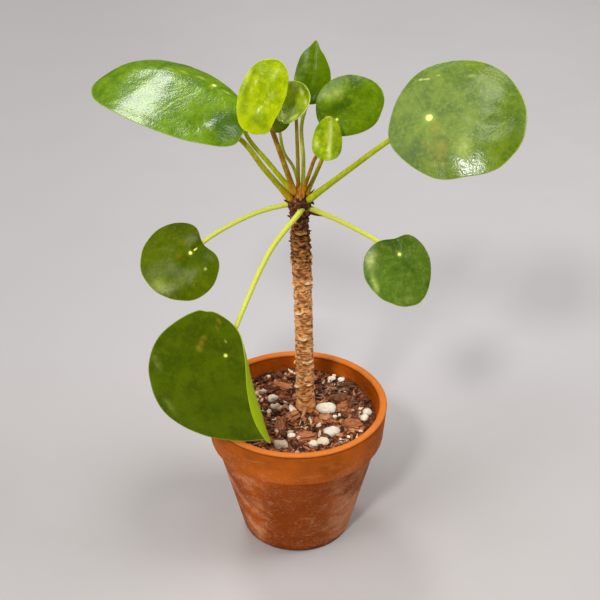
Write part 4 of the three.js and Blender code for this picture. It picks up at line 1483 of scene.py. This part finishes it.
# Marks and painted light on a leaf: kind, u, v, half width along u and along v, and strength. Pale ones are
# mostly painted highlights and glints, deep ones mostly painted shade, and tan ones are scars.
PALE_AND_HIGHLIGHT, TAN, DEEP_AND_SHADE = range(3)
MARKS_AND_PAINTED_LIGHT = {
    "right_round": [
        (TAN, 4, -6, 5, 4, 0.5), (TAN, 10, -16, 5, 4, 0.6),
        (TAN, 9, -23, 4, 4, 0.5), (TAN, 1, -17, 4, 4, 0.4),
        (PALE_AND_HIGHLIGHT, -7.8, 21.9, 1.6, 0.7, 1), (PALE_AND_HIGHLIGHT, -4, 22.2, 1.5, 0.7, 1), (PALE_AND_HIGHLIGHT, 1.6, 24.5, 1.3, 0.7, 0.7),
        (PALE_AND_HIGHLIGHT, 20, 24.6, 3, 1.2, 0.5), (DEEP_AND_SHADE, -8, -20, 7, 8, 0.6), (DEEP_AND_SHADE, 46, -1, 8, 16, 0.6),
        (PALE_AND_HIGHLIGHT, 21, -17, 5, 9, 0.5), (PALE_AND_HIGHLIGHT, 2, 4, 10, 12, 0.12),
        (DEEP_AND_SHADE, -14, 6, 8, 10, 0.25), (DEEP_AND_SHADE, 26, 20, 9, 5, 0.3), (PALE_AND_HIGHLIGHT, 8, -26, 9, 4, 0.3),
    ],
    "left_dome": [
        (PALE_AND_HIGHLIGHT, 58, -14, 5, 1.3, 0.4), (PALE_AND_HIGHLIGHT, 50, -19, 5, 1.3, 0.4), (PALE_AND_HIGHLIGHT, 42, -23, 5, 1.3, 0.5),
        (PALE_AND_HIGHLIGHT, 32, -25, 5, 1.3, 0.5), (PALE_AND_HIGHLIGHT, 22, -26.5, 4, 1.3, 0.6), (PALE_AND_HIGHLIGHT, 3, -25, 4, 1.2, 0.6),
        (PALE_AND_HIGHLIGHT, 0.7, -0.6, 0.9, 0.9, 0.8), (PALE_AND_HIGHLIGHT, 38, 22, 12, 2.5, 0.4), (DEEP_AND_SHADE, 22, -21, 9, 2.2, 0.6),
        (DEEP_AND_SHADE, -17, -4, 7, 9, 0.8), (DEEP_AND_SHADE, 36, -19, 8, 2, 0.4), (DEEP_AND_SHADE, -9, -6, 8, 9, 1.3),
    ],
    "hanging": [
        (TAN, -20.6, 6.7, 2.6, 1.2, 0.9), (TAN, -17.3, 3.8, 2.4, 1, 0.7), (TAN, -15, -5.7, 1.8, 1.5, 0.9),
        (TAN, -12.7, -8.5, 2.4, 1.3, 1.0), (TAN, -10.4, -11.4, 2.4, 1.5, 1.1), (PALE_AND_HIGHLIGHT, -8, 4.4, 1.3, 0.7, 0.7),
        (PALE_AND_HIGHLIGHT, -11, -39, 9, 3, 0.3), (PALE_AND_HIGHLIGHT, 16, -45, 9, 3, 0.3), (DEEP_AND_SHADE, -6, -31, 9, 6, 0.3),
        (DEEP_AND_SHADE, 20, -12, 10, 5, 0.35), (DEEP_AND_SHADE, 27, -22, 10, 8, 0.4),
    ],
    "low_left": [
        (PALE_AND_HIGHLIGHT, 25, 4, 5, 5, 0.45), (PALE_AND_HIGHLIGHT, 21, 10, 6, 4, 0.3), (TAN, -1, -6.5, 2, 2.4, 0.6),
        (TAN, 6.6, -2.5, 2.6, 2.2, 0.6), (TAN, -10, -7.5, 2, 2, 0.5), (PALE_AND_HIGHLIGHT, -1.5, 12.7, 0.9, 0.9, 1),
        (DEEP_AND_SHADE, -4, 6, 6, 6, 0.7), (DEEP_AND_SHADE, -3, 17, 6, 4, 0.5), (DEEP_AND_SHADE, 6, 3, 6, 3, 0.5),
    ],
    "low_right": [
        (PALE_AND_HIGHLIGHT, 0, -17.5, 6, 3.4, 0.6), (PALE_AND_HIGHLIGHT, -3.6, -13.5, 3, 3, 0.4), (PALE_AND_HIGHLIGHT, 13.5, -18.4, 6, 2, 0.6),
        (DEEP_AND_SHADE, -10, -6, 3, 4, 0.7), (DEEP_AND_SHADE, 6, 12, 6, 4, 0.4), (DEEP_AND_SHADE, 8, -4.5, 2.5, 2.5, 0.7),
        (PALE_AND_HIGHLIGHT, 26, -4, 3, 9, 0.3),
    ],
    "lime": [
        (PALE_AND_HIGHLIGHT, -14, -5.4, 0.9, 0.9, 0.8), (PALE_AND_HIGHLIGHT, -9, -6.9, 2, 0.9, 0.9), (PALE_AND_HIGHLIGHT, -4, -7.6, 1.7, 0.8, 0.7),
        (PALE_AND_HIGHLIGHT, -5.8, 3.5, 3, 1.8, 0.5), (DEEP_AND_SHADE, -13, -9.8, 3, 1.6, 0.6), (DEEP_AND_SHADE, -4, -10, 6, 2, 0.6),
        (DEEP_AND_SHADE, 4.7, -8.4, 7, 3, 0.6), (PALE_AND_HIGHLIGHT, -19, 2.5, 1, 5, 0.4), (DEEP_AND_SHADE, 10, 0, 8, 7, 0.5),
    ],
    "cup": [
        (PALE_AND_HIGHLIGHT, 6.7, 8.7, 1.4, 1.6, 1.3), (PALE_AND_HIGHLIGHT, 7.5, 3.4, 1.3, 1.8, 1.6), (PALE_AND_HIGHLIGHT, 6.1, -3.2, 1.2, 1.8, 1.3),
        (PALE_AND_HIGHLIGHT, -3.6, -5.6, 2.6, 1.2, 1.8), (PALE_AND_HIGHLIGHT, -8.5, -1.6, 1.2, 2.6, 1.2), (DEEP_AND_SHADE, -2, 2, 4.5, 4, 0.7),
    ],
    "right_young": [
        (PALE_AND_HIGHLIGHT, 8.6, 12, 6, 4, 0.5), (PALE_AND_HIGHLIGHT, 2, 14, 3, 3, 0.4), (DEEP_AND_SHADE, 4, 5, 7, 3, 0.9),
        (DEEP_AND_SHADE, -4, 8, 4, 3, 0.4),
    ],
    "pointed": [(DEEP_AND_SHADE, 1, 0, 7, 9, 0.8), (PALE_AND_HIGHLIGHT, 6, 9, 7, 0.7, 0.4)],
    "folded": [(PALE_AND_HIGHLIGHT, 4, -1.2, 13, 1.3, 1.2), (PALE_AND_HIGHLIGHT, 1.6, 5.9, 3, 1.7, 0.9), (DEEP_AND_SHADE, 6, 3, 5, 1.5, 0.4)],
}
print(sum(map(len, MARKS_AND_PAINTED_LIGHT.values())), "marks on", len(MARKS_AND_PAINTED_LIGHT), "leaves")

# %% [markdown]
# These are the twelve leaves, with the places and sizes that they have in the CAD model. Each
# joint was placed on its line of sight in the photograph, and the bends were fitted to its outline.

# %% Leaves
LEAVES = {
    "right_round": leaf(
        (69.7, -14, 284.5), (-119, 47), 12, 71.8, 34.6, 34.2, 15.5,
        [(90, 10, -113), (270, 10, -67), (0, 10, -91)],
        [1.6, 1.15, (7.2, 2.5, 227.7), (29.2, -3, 249), (50.5, -9, 269.4)], dot=2.2, tint=0.25,
        lobes=[(203, 20, 2.4), (125, 24, 1.5), (284, 18, -1.2), (318, 10, 0.8)],
    ),
    "left_dome": leaf(
        (-49.6, 0, 276), (-89, 68), 145, 95.4, 21.8, 36.7, 25,
        [(90, 5, 144), (270, 15, -35), (0, 20, -123), (180, 8, -54)],
        [1.6, 1.15, (-4.2, 2.5, 229), (-17.6, 1.5, 246.8), (-31, 1, 265.4)],
        egg=-0.14, tip=6.5, sharp=4, look="leaf_gloss", dot=1.5, dot_at=(12, -25.5),
        tint=0.5, folds=LEFT_DOME_FOLDS,
    ),
    "hanging": leaf(
        (-39.5, -45, 154.4), (-95, 8), 297, 86.2, 16.5, 51, 11.8, [(76, 6.9, 5.4), (270, 5, -145)],
        [1.6, 1.15, (2.3, 0.3, 225.9), (0, -3, 223), (-14, -12, 204), (-28.8, -26, 176)],
        tip=3.0, sharp=16, wave=1.6, phase=-0.6, finish="leaf_dark", dot=1.3, tint=0,
        lobes=[(168, 12, -1.8), (111, 12, 1.5), (228, 36, 1.3)],
        rooted=[Vector((2.6, 2, 221.2)), Vector((1.3, -2.6, 221.4))],
    ),
    "low_left": leaf(
        (-59.5, -10, 200.5), (-95, 41), 219, 42.6, 23.9, 22.1, 7.2, [(90, 6, -80), (270, 6, -80)],
        [1.3, 1.05, (-4.8, 6.5, 222.5), (-23.3, 4, 218), (-47, -1, 206.8)],
        notch=5.3, look="leaf_dull", dot=1.2, tint=0, folds=[(0, 0, -12, -0.5, 1.6, -1.2)],
        lobes=[(340, 40, 1.2)],
    ),
    "low_right": leaf(
        (57.8, -10, 199.6), (-81, 41), -80, 42.4, 15.6, 22, 8.7, [(90, 6, -83), (270, 6, -79)],
        [1.35, 1.05, (7.3, 6.5, 220), (24.5, 3, 213.5), (42.5, -1.5, 205.3)],
        egg=0.13, notch=3.2, wave=-1.1, phase=0.8, look="leaf_soft", dot=1.2, tint=0,
        folds=[(0, 0, -11, 0, 1.6, -1)], lobes=[(300, 45, 1.0)],
    ),
    "lime": leaf(
        (-17.8, -18, 294.2), (-96, 21), 250, 41.6, 10.4, 13.8, -2.8, [(90, 3, -32), (270, 3, -46)],
        [1.5, 1.1, (-1.6, 1.2, 233.6), (-7.3, -4, 254.8), (-12.9, -10, 275.3)],
        egg=0.09, tip=-1.1, finish="leaf_lime", dot=0.1, tint=0.75, folds=[(-16, 2, 12, 4, 3, 0.8)],
        lobes=[(47, 14, 2.2)],
    ),
    "right_young": leaf(
        (21.9, 2, 276.3), (-79, 40), 28, 39.9, 20, 12.6, 10.2, [(86, 5, -55), (274, 5, -48)],
        [1.2, 0.95, (6.4, 5, 231.7), (10.3, 5, 241.3), (14, 4.5, 251)],
        finish="leaf_fresh", dot=0.8, tint=0.5, lobes=[(282, 26, 1.6)],
    ),
    "pointed": leaf(
        (7.4, 14, 285.1), (-91, 27), 84, 30.5, 9.7, 10.4, 10.3, [(90, 1, -25), (270, 1, -25)],
        [1.15, 0.9, (3.6, 8.5, 232.8), (3.8, 10.5, 248), (2.9, 13, 268.4)],
        egg=0.24, tip=3.6, sharp=30, look="leaf_low", dot=0.1, tint=0.1, keel=-0.5,
        lobes=[(35, 32, 1.5)],
    ),
    "cup": leaf(
        (-0.7, -5, 287.4), (-128, 31), 54, 23.6, 14, 11.4, 0.2, [(90, 3, 20), (270, 3, 20)],
        [1.05, 0.85, (1, 5, 234.8), (0.8, 2, 249), (0.2, -2.5, 272)],
        finish="leaf_fresh", look="leaf_bright", dot=0.1, tint=0.65, curl=3.2,
    ),
    "folded": leaf(
        (16.3, -16, 267.6), (-89, 12), 87, 23.2, 9.1, 9.3, 4.8, [(90, 0.5, -9), (270, 0.5, -9)],
        [1.05, 0.85, (4.4, 2.2, 234.9), (7, -2, 245.5), (10.8, -8, 259.2)],
        egg=0.29, tip=1.2, sharp=12, finish="leaf_lime", look="leaf_bud", dot=0.1, tint=0.9, keel=0.9,
    ),
    "shaded": leaf(
        (-10.1, 6, 273.9), (-110, 25), 250, 15.5, 6.8, 6.8, -0.9, [(90, 2, -20), (270, 2, -20)],
        [0.9, 0.75, (1.4, 10.8, 231.3), (-1.6, 12, 242.5), (-6.9, 9.5, 253.2)],
        finish="leaf_dark", dot=0.1, tint=0.1,
    ),
    "rear": leaf(
        (-32.2, 24, 269.3), (110, 58), 20, 30, 13.5, 13.5, 4, [(90, 3, -40), (270, 3, -40)],
        [1.4, 1, (-3.9, 10.5, 230.5), (-15.4, 15, 243.8), (-26.8, 19.5, 257)], dot=0.9, tint=0.3,
    ),
}
for name, marks_and_light in MARKS_AND_PAINTED_LIGHT.items():
    LEAVES[name]["marks_and_light"] = marks_and_light
print(len(LEAVES), "leaves, the longest", max(one["length"] for one in LEAVES.values()), "mm")

# %% [markdown]
# A blade starts as a flat outline. It gets its height, the dip and a waved edge, and then each
# bend rolls what lies past its start round a cylinder. A lift off the middle skin goes through
# the same bends, so the two faces stay the same distance apart.

# %% Where a spot of a blade is
NOTCH_WIDTH = 0.35
WAVES_ROUND = 3
KEEL_WIDTH = 1.2
FOLD_FROM = 0.1
FOLD_SPAN = 0.8


def blade_axes(leaf):
    """Which ways the upper face, the tip and the left side of a blade point."""
    compass, height = (math.radians(value) for value in leaf["facing"])
    turn = math.radians(leaf["turn"])
    flat = math.cos(height)
    out = Vector((flat * math.cos(compass), flat * math.sin(compass), math.sin(height)))
    level = Vector((-math.sin(compass), math.cos(compass), 0))
    ahead = level * math.cos(turn) + out.cross(level) * math.sin(turn)
    return out, ahead, out.cross(ahead)


def blade_outline(leaf, around):
    along, across = math.cos(around), math.sin(around)
    half = leaf["left"] if across > 0 else leaf["right"]
    behind = abs(math.remainder(around - math.pi, 2 * math.pi))
    tip = leaf["tip"] * max(0, along) ** leaf["sharp"]
    notch = leaf["notch"] * hump(behind, NOTCH_WIDTH)
    lobe = 0
    for turn, wide, more in leaf["lobes"]:
        beside = math.remainder(around - math.radians(turn), 2 * math.pi) / math.radians(wide)
        lobe += more * hump(beside, 1)
    u = leaf["length"] / 2 * along + tip + notch + lobe * along + leaf["ahead"]
    v = half * across * (1 - leaf["egg"] * along) + lobe * across
    return u, v


def blade_height(leaf, u, v):
    reach = math.hypot(u, v)
    waves = math.sin(WAVES_ROUND * math.atan2(v, u) + leaf["phase"])
    wave = leaf["wave"] * (reach / (leaf["length"] / 2)) ** 2 * waves
    return wave - DIMPLE_DEPTH * hump(reach, DIMPLE_RADIUS)


def fold_height(leaf, u, v):
    """Creases that only show close up: from one spot to another, with a width and a height."""
    total = leaf["keel"] * math.exp(-abs(v) / KEEL_WIDTH)
    for u_from, v_from, u_to, v_to, width, tall in leaf["folds"]:
        line = Vector((u_to - u_from, v_to - v_from))
        here = Vector((u - u_from, v - v_from))
        share = min(1, max(0, here.dot(line) / line.length_squared))
        aside = (here - line * share).length
        total += tall * hump(aside, width) * math.sin(math.pi * (FOLD_FROM + FOLD_SPAN * share))
    return total


def blade_spot(leaf, u, v, lift=0.0):
    a, b, h = u, v, blade_height(leaf, u, v) + lift
    for direction, start, radius in leaf["bends"]:
        ahead, aside = math.cos(math.radians(direction)), math.sin(math.radians(direction))
        along = a * ahead + b * aside
        across = b * ahead - a * aside
        if along > start:
            rolled = (along - start) / radius
            bent = start + (radius - h) * math.sin(rolled)
            h = radius - (radius - h) * math.cos(rolled)
            a = bent * ahead - across * aside
            b = bent * aside + across * ahead
    out, ahead, left = blade_axes(leaf)
    return leaf["at"] + ahead * a + left * b + out * h


tip_of_largest = blade_spot(LEAVES["left_dome"], *blade_outline(LEAVES["left_dome"], 0))
print("tip of the big left leaf:", [round(value, 1) for value in tip_of_largest])

# %% [markdown]
# The blade itself is a wrapped grid: from the middle of the upper face out to the edge, round it, and back to
# the middle below. The edge is rounded and a little thinner, and the faces are not quite even, which breaks
# up the gloss the way it does on the real plant. The corners keep where they were while the blade was flat,
# how far out they are, on which face, and their marks and painted light.

# %% Blades
SWELLS = [(0.07, 0.4), (0.19, 0.1), (0.5, 0.03)]  # waves per mm, height in mm
SWELLS_FROM = (0.05, 0.3)  # shares of the way out to the edge, as in the next two lines
RIM_THINS = (0.7, 1)
EDGE_CURLS = (0.6, 1)
RIM_THINNING = 0.35
EDGE_UNEVEN = 0.018
EDGE_ROUND = 2.4
LEAST_SPOKES = 48
LEAST_ROWS = 60
ROWS_PER_MM = 0.2


def tints_and_painted_light(leaf, u, v):
    """How pale, tan and deep the marks make a spot of a leaf, with the painted highlights among the pale ones
    and the painted shade among the deep ones.
    """
    tints_and_light = Vector()
    for kind, u_middle, v_middle, wide, tall, strength in leaf["marks_and_light"]:
        away = ((u - u_middle) / wide) ** 2 + ((v - v_middle) / tall) ** 2
        tints_and_light[kind] += strength * math.exp(-away)
    return tints_and_light


def blade_shape(leaf, seed):
    half = BLADE_THICKNESS / 2
    u_dot, v_dot = leaf["dot_at"]
    rim = half / (leaf["length"] / 2)

    def spot(across, down):
        reach = math.sin(down * math.pi)
        side = 1 if down < 0.5 else -1
        inward = min(1, (1 - reach) / rim)
        round_edge = math.sqrt(1 - (1 - inward) ** 2)
        thin = 1 - RIM_THINNING * smoothstep(reach, *RIM_THINS)
        around = across * 2 * math.pi
        on_edge = Vector((math.cos(around) * EDGE_ROUND, math.sin(around) * EDGE_ROUND, seed))
        uneven = 1 + EDGE_UNEVEN * noise.noise(on_edge)
        u, v = (reach * value * uneven for value in blade_outline(leaf, around))
        swell = sum(tall * noise.noise(Vector((u * often, v * often, seed))) for often, tall in SWELLS)
        swell += fold_height(leaf, u, v)
        lift = side * half * thin * round_edge + swell * smoothstep(reach, *SWELLS_FROM)
        lift += leaf["curl"] * smoothstep(reach, *EDGE_CURLS)
        marks = Vector((reach, side * round_edge, leaf["dot"]))
        tints_and_light = tints_and_painted_light(leaf, u, v)
        return blade_spot(leaf, u, v, lift), Vector((u - u_dot, v - v_dot, seed)), marks, tints_and_light

    spokes = LEAST_SPOKES + round(leaf["length"])
    rows = LEAST_ROWS + 2 * round(leaf["length"] * ROWS_PER_MM)
    return wrapped(spokes, rows, spot, "flat", "marks", "tints_and_light")


blades = {}
for seed, (name, sizes) in enumerate(LEAVES.items()):
    blades[name] = place(blade_shape(sizes, seed), "blade_" + name, sizes["finish"], "leaf_" + name)

# %% [markdown]
# A leaf is not one green. Between its veins it is deeper, along them paler; the edge is a thin light line,
# and over the joint lies a pale dot in a soft halo of painted highlight. The lower face is lighter. The veins
# fan out from the dot, so they are drawn in the flat coordinates that every corner has kept: a sine of the
# compass angle round the dot, made even in width by the distance from it.

# %% Leaf finish
VEINS = 9
VEIN_SWAY = 0.5
VEIN_WIDTH = (0.1, 1.4)  # mm beside its middle
DOT_PALE = linear(240, 248, 120)
# Colours of pale marks and painted highlights, of tan scars, and of deep marks and painted shade
PALE_MARK_AND_HIGHLIGHT = linear(210, 220, 116)
MARK_TAN = linear(160, 128, 36)
DEEP_MARK_AND_SHADE = linear(46, 76, 0)
SPECK = linear(140, 96, 30)
RIM_LINE = (0.98, 0.998)  # share of the way out to the edge
DOT_CORE = (0.5, 1.1)  # in radii of the dot, as in the next line
DOT_HALO_HIGHLIGHT = (0.8, 2.6)

# Patterns of a blade, with waves per millimetre
LEAF_CLOUDS = dict(scale=0.07, detail=3, roughness=0.6)
LEAF_MOTTLE = dict(scale=0.4, detail=4, roughness=0.65)
LEAF_POCKETS = dict(scale=0.2, detail=5, roughness=0.65, distortion=0.4)
LEAF_LEATHER = dict(scale=0.75, detail=1.5)
LEAF_SWAY = dict(scale=0.05, detail=1)


def veined(finish, flat, reach):
    """The distance from the dot, and the veins, which fan out from it and end before the edge."""
    u, v, seed = finish.split(flat)
    radius = (u * u + v * v) ** 0.5
    compass = finish.node("ShaderNodeMath", {"operation": "ARCTAN2"}, {0: v, 1: u})
    sway = (finish.noise(flat, **LEAF_SWAY) - 0.5) * VEIN_SWAY
    beside = ((compass + sway) * (VEINS / 2) + seed).sine().absolute() * radius * (2 / VEINS)
    veins = beside.ramp(*VEIN_WIDTH, 1, 0) * radius.ramp(1, 6) * reach.ramp(0.6, 0.95, 1, 0)
    return radius, veins


def leaf_finish(name, body, deep, vein, rim, under, gloss, shine, pebbles):
    finish = Finish(name)
    body, deep, vein, rim, under = (linear(*colour) for colour in (body, deep, vein, rim, under))
    flat = finish.attribute("flat", VECTOR)
    reach, side, dot = finish.split(finish.attribute("marks", VECTOR))
    pale_and_lit, tan, deep_and_shade = finish.split(finish.attribute("tints_and_light", VECTOR))
    clouds = finish.noise(flat, **LEAF_CLOUDS)
    mottle = finish.noise(flat, **LEAF_MOTTLE)
    pockets = finish.noise(flat, **LEAF_POCKETS)
    leather = finish.noise(flat, **LEAF_LEATHER)
    radius, veins = veined(finish, flat, reach)
    upper = side.ramp(-0.3, 0.3)
    ragged = 0.45 + 1.1 * mottle
    distance = radius / dot
    specks = finish.cells(flat, 0.13).ramp(0.045, 0.08, 1, 0) * clouds.ramp(0.55, 0.6)
    upper_face = finish.coats(
        deep,
        (body, clouds.ramp(0.38, 0.6)),
        (deep, pockets.ramp(0.5, 0.64), 0.6),
        (vein, mottle.ramp(0.45, 0.7), 0.38),
        (vein, veins, 0.13),
        # Deep marks with painted shade, tan scars, and pale marks with painted highlights, as listed for each
        # leaf
        (DEEP_MARK_AND_SHADE, (deep_and_shade * ragged).ramp(0, 1.2), 0.8),
        (MARK_TAN, (tan * ragged).ramp(0.05, 1.1), 0.6),
        (PALE_MARK_AND_HIGHLIGHT, (pale_and_lit * ragged).ramp(0.05, 1.2), 0.85),
    )
    lower_face = finish.coats(under, (rim, veins * 0.35 + mottle.ramp(0.45, 0.7) * 0.3))
    colour = finish.coats(
        lower_face,
        (upper_face, upper),
        (rim, reach.ramp(*RIM_LINE), 0.5),
        # A soft halo of painted highlight round the dot, where the blade dips
        (vein, distance.ramp(*DOT_HALO_HIGHLIGHT, 0.6, 0) * upper),
        (DOT_PALE, distance.ramp(*DOT_CORE, 1, 0) * upper),
        (SPECK, specks, 0.7),
    )
    swelling = finish.bump(mottle, strength=0.1, distance_mm=0.5)
    pebbled = finish.bump(leather - 0.3 * veins, strength=pebbles, distance_mm=0.22, over=swelling)
    return finish.surface(
        Base_Color=colour, Roughness=gloss + 0.08 * mottle, Specular_IOR_Level=shine, Normal=pebbled,
    )


print("veins from a dot:", VEINS)

# %% [markdown]
# The leaves differ in age, and so in colour: dark and dull low down, lime and yellow at the top.
# Ten looks share the one finish. Five colours each are given as they look on a screen.

# %% Colours of the leaves
# Colours of the blade, between the veins, along them, of its edge and its lower face, then how
# rough it is, how it shines and how pebbled it is
EDGE = (160, 186, 40)
UNDER = (150, 178, 40)
DARK_EDGE = (170, 184, 50)
DARK_UNDER = (150, 170, 14)
LIME_EDGE = (214, 222, 70)
LIME_UNDER = (196, 210, 60)
FRESH_EDGE = (156, 178, 40)
BRIGHT_EDGE = (212, 222, 110)
BUD_EDGE = (206, 216, 90)
LEAF_LOOKS = {
    "leaf_green": ((102, 124, 20), (76, 102, 4), (140, 158, 56), EDGE, UNDER, 0.18, 0.4, 0.45),
    "leaf_gloss": ((100, 132, 2), (76, 110, 0), (134, 160, 20), EDGE, UNDER, 0.17, 0.45, 0.5),
    "leaf_low": ((88, 114, 0), (64, 90, 0), (118, 142, 16), EDGE, UNDER, 0.22, 0.09, 0.25),
    "leaf_soft": ((82, 108, 26), (64, 90, 14), (128, 150, 60), EDGE, UNDER, 0.24, 0.12, 0.35),
    "leaf_dull": ((82, 97, 0), (66, 80, 0), (106, 120, 10), EDGE, UNDER, 0.2, 0.03, 0.2),
    "leaf_dark": ((82, 100, 0), (66, 84, 0), (98, 116, 6), DARK_EDGE, DARK_UNDER, 0.26, 0.05, 0.2),
    "leaf_lime": ((178, 196, 0), (134, 158, 0), (212, 222, 50), LIME_EDGE, LIME_UNDER, 0.18, 0.14, 0.3),
    "leaf_fresh": ((90, 118, 0), (66, 92, 0), (132, 158, 20), FRESH_EDGE, UNDER, 0.17, 0.2, 0.5),
    "leaf_bright": ((172, 192, 22), (114, 144, 0), (210, 222, 90), BRIGHT_EDGE, UNDER, 0.14, 0.45, 0.45),
    "leaf_bud": ((160, 180, 0), (108, 138, 0), (206, 218, 60), BUD_EDGE, UNDER, 0.2, 0.08, 0.3),
}
leaf_finishes = {name: leaf_finish(name, *look) for name, look in LEAF_LOOKS.items()}
for name, piece in blades.items():
    dress(piece, leaf_finishes[LEAVES[name]["look"] or LEAVES[name]["finish"]])

# %% [markdown]
# A stalk swells where it leaves the crown, thins out and ends flat against the lower face of its
# blade. It starts a little inside the crown, so that no gap shows there. The corners that would
# come through the blade are set back onto its lower face.

# %% Stalks
STALK_ROOT = 4
STALK_SIDES = 20
STALK_ROWS = 60
STALK_FULLNESS = 1.08
FOOT_SWELL = 0.3
FOOT_SWELL_SHARE = 0.12
JOINT_SWELL = 0.22
JOINT_SWELLS = (0.93, 1)
JOINT_REACH = 6


def stalk_shape(leaf, seed):
    joint = blade_spot(leaf, 0, 0)
    out = blade_axes(leaf)[0]
    points = leaf["path"]
    if leaf["rooted"]:
        points = leaf["rooted"] + points[2:]
    start = points[0] + (points[0] - points[1]).normalized() * STALK_ROOT
    path = smooth_path([start] + points[1:] + [joint])

    def thickness(share):
        plain = STALK_FULLNESS * (leaf["thick"] + (leaf["thin"] - leaf["thick"]) * share)
        at_foot = FOOT_SWELL * hump(share, FOOT_SWELL_SHARE)
        at_joint = JOINT_SWELL * smoothstep(share, *JOINT_SWELLS)
        return plain * (1 + at_foot + at_joint)

    shape = bar(path, thickness, STALK_SIDES, STALK_ROWS, marks=Vector((0, leaf["tint"], seed)))
    for corner in shape.verts:
        over = (corner.co - joint).dot(out) + BLADE_THICKNESS / 4
        if over > 0 and (corner.co - joint).length < JOINT_REACH:
            corner.co -= out * over
    return shape


stalks = {}
for seed, (name, sizes) in enumerate(LEAVES.items()):
    stalks[name] = place(stalk_shape(sizes, seed), "stem_" + name, "stalk", "stalk_" + name)

# %% [markdown]
# The old stalks are pale yellow-green. The young ones are flushed with red-brown, most of all at
# their feet. The share along the stalk and its own tint are kept by its corners, so one finish
# does for all twelve.

# %% Stalk finish
STALK_PALE = linear(212, 216, 80)
STALK_GREEN = linear(158, 168, 6)
STALK_RED = linear(142, 90, 4)
STALK_FOOT = linear(196, 124, 18)
FOOT_STAIN = (0.02, 0.22)  # share of the way along


def stalk_finish():
    finish = Finish("stalk")
    share, tint, _ = finish.split(finish.attribute("marks", VECTOR))
    spot = finish.place()
    streaks = finish.noise(spot, 420, detail=3, roughness=0.6, squeeze=(1, 1, 0.4))
    blotches = finish.noise(spot, 90, detail=3)
    value = tint + (blotches - 0.5) * 0.5 * tint.ramp(0, 0.3)
    colour = finish.coats(
        STALK_PALE,
        (STALK_GREEN, value.ramp(0, 0.22)),
        (STALK_RED, value.ramp(0.3, 0.95)),
        (STALK_FOOT, share.ramp(*FOOT_STAIN, 1, 0) * tint.ramp(0.25, 0.6), 0.9),
        (STALK_PALE, streaks.ramp(0.45, 0.7), 0.3),
    )
    bump = finish.bump(streaks, strength=0.2, distance_mm=0.15)
    return finish.surface(Base_Color=colour, Roughness=0.36, Specular_IOR_Level=0.1, Normal=bump)


stalk_look = stalk_finish()
for piece in stalks.values():
    dress(piece, stalk_look)

# %% [markdown]
# The plant stands on one wide pale floor. The floor fills the whole view, because the camera looks down. A
# soft change of tone behind the pot stands for the place where paper bends up a wall, and towards the left
# the floor is darkened with painted shade.

# %% Floor
FLOOR_SIZE = 14.0
SEAM_BLENDS = (0.05, 0.2)  # metres behind the pot
LEFT_SHADE_SPAN = (0.05, -0.3)  # metres to the right
FLOOR_GREY = linear(182, 177, 175)
FAR_GREY = linear(186, 182, 182)
LEFT_SHADE_GREY = linear(166, 162, 160)
CLOUD_GREY = linear(165, 160, 159)


def floor_finish():
    finish = Finish("floor")
    spot = finish.place()
    aside, away, _ = finish.split(spot)
    clouds = finish.noise(spot, 3.2, detail=4, roughness=0.6)
    fine = finish.noise(spot, 22, detail=3, roughness=0.6)
    colour = finish.coats(
        FLOOR_GREY,
        (FAR_GREY, away.ramp(*SEAM_BLENDS)),
        # Painted shade: the floor is darker towards the left
        (LEFT_SHADE_GREY, aside.ramp(*LEFT_SHADE_SPAN), 0.6),
        (CLOUD_GREY, clouds.ramp(0.3, 0.7) * 0.16 + fine.ramp(0.4, 0.7) * 0.05),
    )
    return finish.surface(Base_Color=colour, Roughness=0.9, Specular_IOR_Level=0.2)


floor_shape = bmesh.new()
bmesh.ops.create_grid(floor_shape, x_segments=2, y_segments=2, size=FLOOR_SIZE / 2)
floor_mesh = bpy.data.meshes.new("floor")
floor_shape.to_mesh(floor_mesh)
floor_shape.free()
floor = bpy.data.objects.new("floor", floor_mesh)
bpy.context.scene.collection.objects.link(floor)
floor.data.materials.append(floor_finish())
print("floor:", FLOOR_SIZE, "m wide")

# %% [markdown]
# The gloss on the leaves tells where the lights were: a small one in front that leaves a clear
# patch on a leaf, and one behind, high up. Two soft ones high at the sides light the plant, a low
# one at the left and a small one above reach into the crown, and a dim grey sky fills the rest.

# %% Lights
CROWN = Vector((0, 0, 0.24))
SKY_STRENGTH = 0.1
# name, compass angle and height in degrees, distance, width and height in metres, power in watts
LAMPS = [
    ("key", -110, 42, 2.6, 0.28, 0.28, 32),
    ("front", -146, 19, 2.6, 1.0, 0.8, 20),
    ("back", 115, 53, 2.8, 0.72, 0.8, 24),
    ("top", -84, 82, 2.4, 0.8, 0.8, 12),
    ("left", -160, 58, 2.4, 1.8, 1.8, 17),
    ("right", -2, 50, 2.4, 1.0, 1.0, 29),
]


def soft_light(name, compass, height, distance, wide, tall, power):
    """A lamp that looks at the crown from a compass angle and a height in degrees."""
    lamp = bpy.data.lights.new(name, "AREA")
    lamp.energy = power
    lamp.shape = "RECTANGLE"
    lamp.size = wide
    lamp.size_y = tall
    height = math.radians(height)
    way = polar(math.cos(height), math.radians(compass), math.sin(height))
    holder = bpy.data.objects.new(name, lamp)
    holder.location = CROWN + way * distance
    holder.rotation_euler = (-way).to_track_quat("-Z", "Y").to_euler()
    bpy.context.scene.collection.objects.link(holder)


for lamp in LAMPS:
    soft_light(*lamp)
print(len(LAMPS), "lamps")

# %% [markdown]
# The sky is plain and dim. It only keeps the shadows from going black. Colours are shown as they
# are, without a film look, so that they can be compared with the photograph.

# %% Sky
sky = bpy.data.worlds.new("sky")
sky.use_nodes = True
background = sky.node_tree.nodes["Background"].inputs
background["Color"].default_value = (1, 1, 1, 1)
background["Strength"].default_value = SKY_STRENGTH
bpy.context.scene.world = sky
bpy.context.scene.view_settings.view_transform = "Standard"
print("sky:", SKY_STRENGTH)

# %% [markdown]
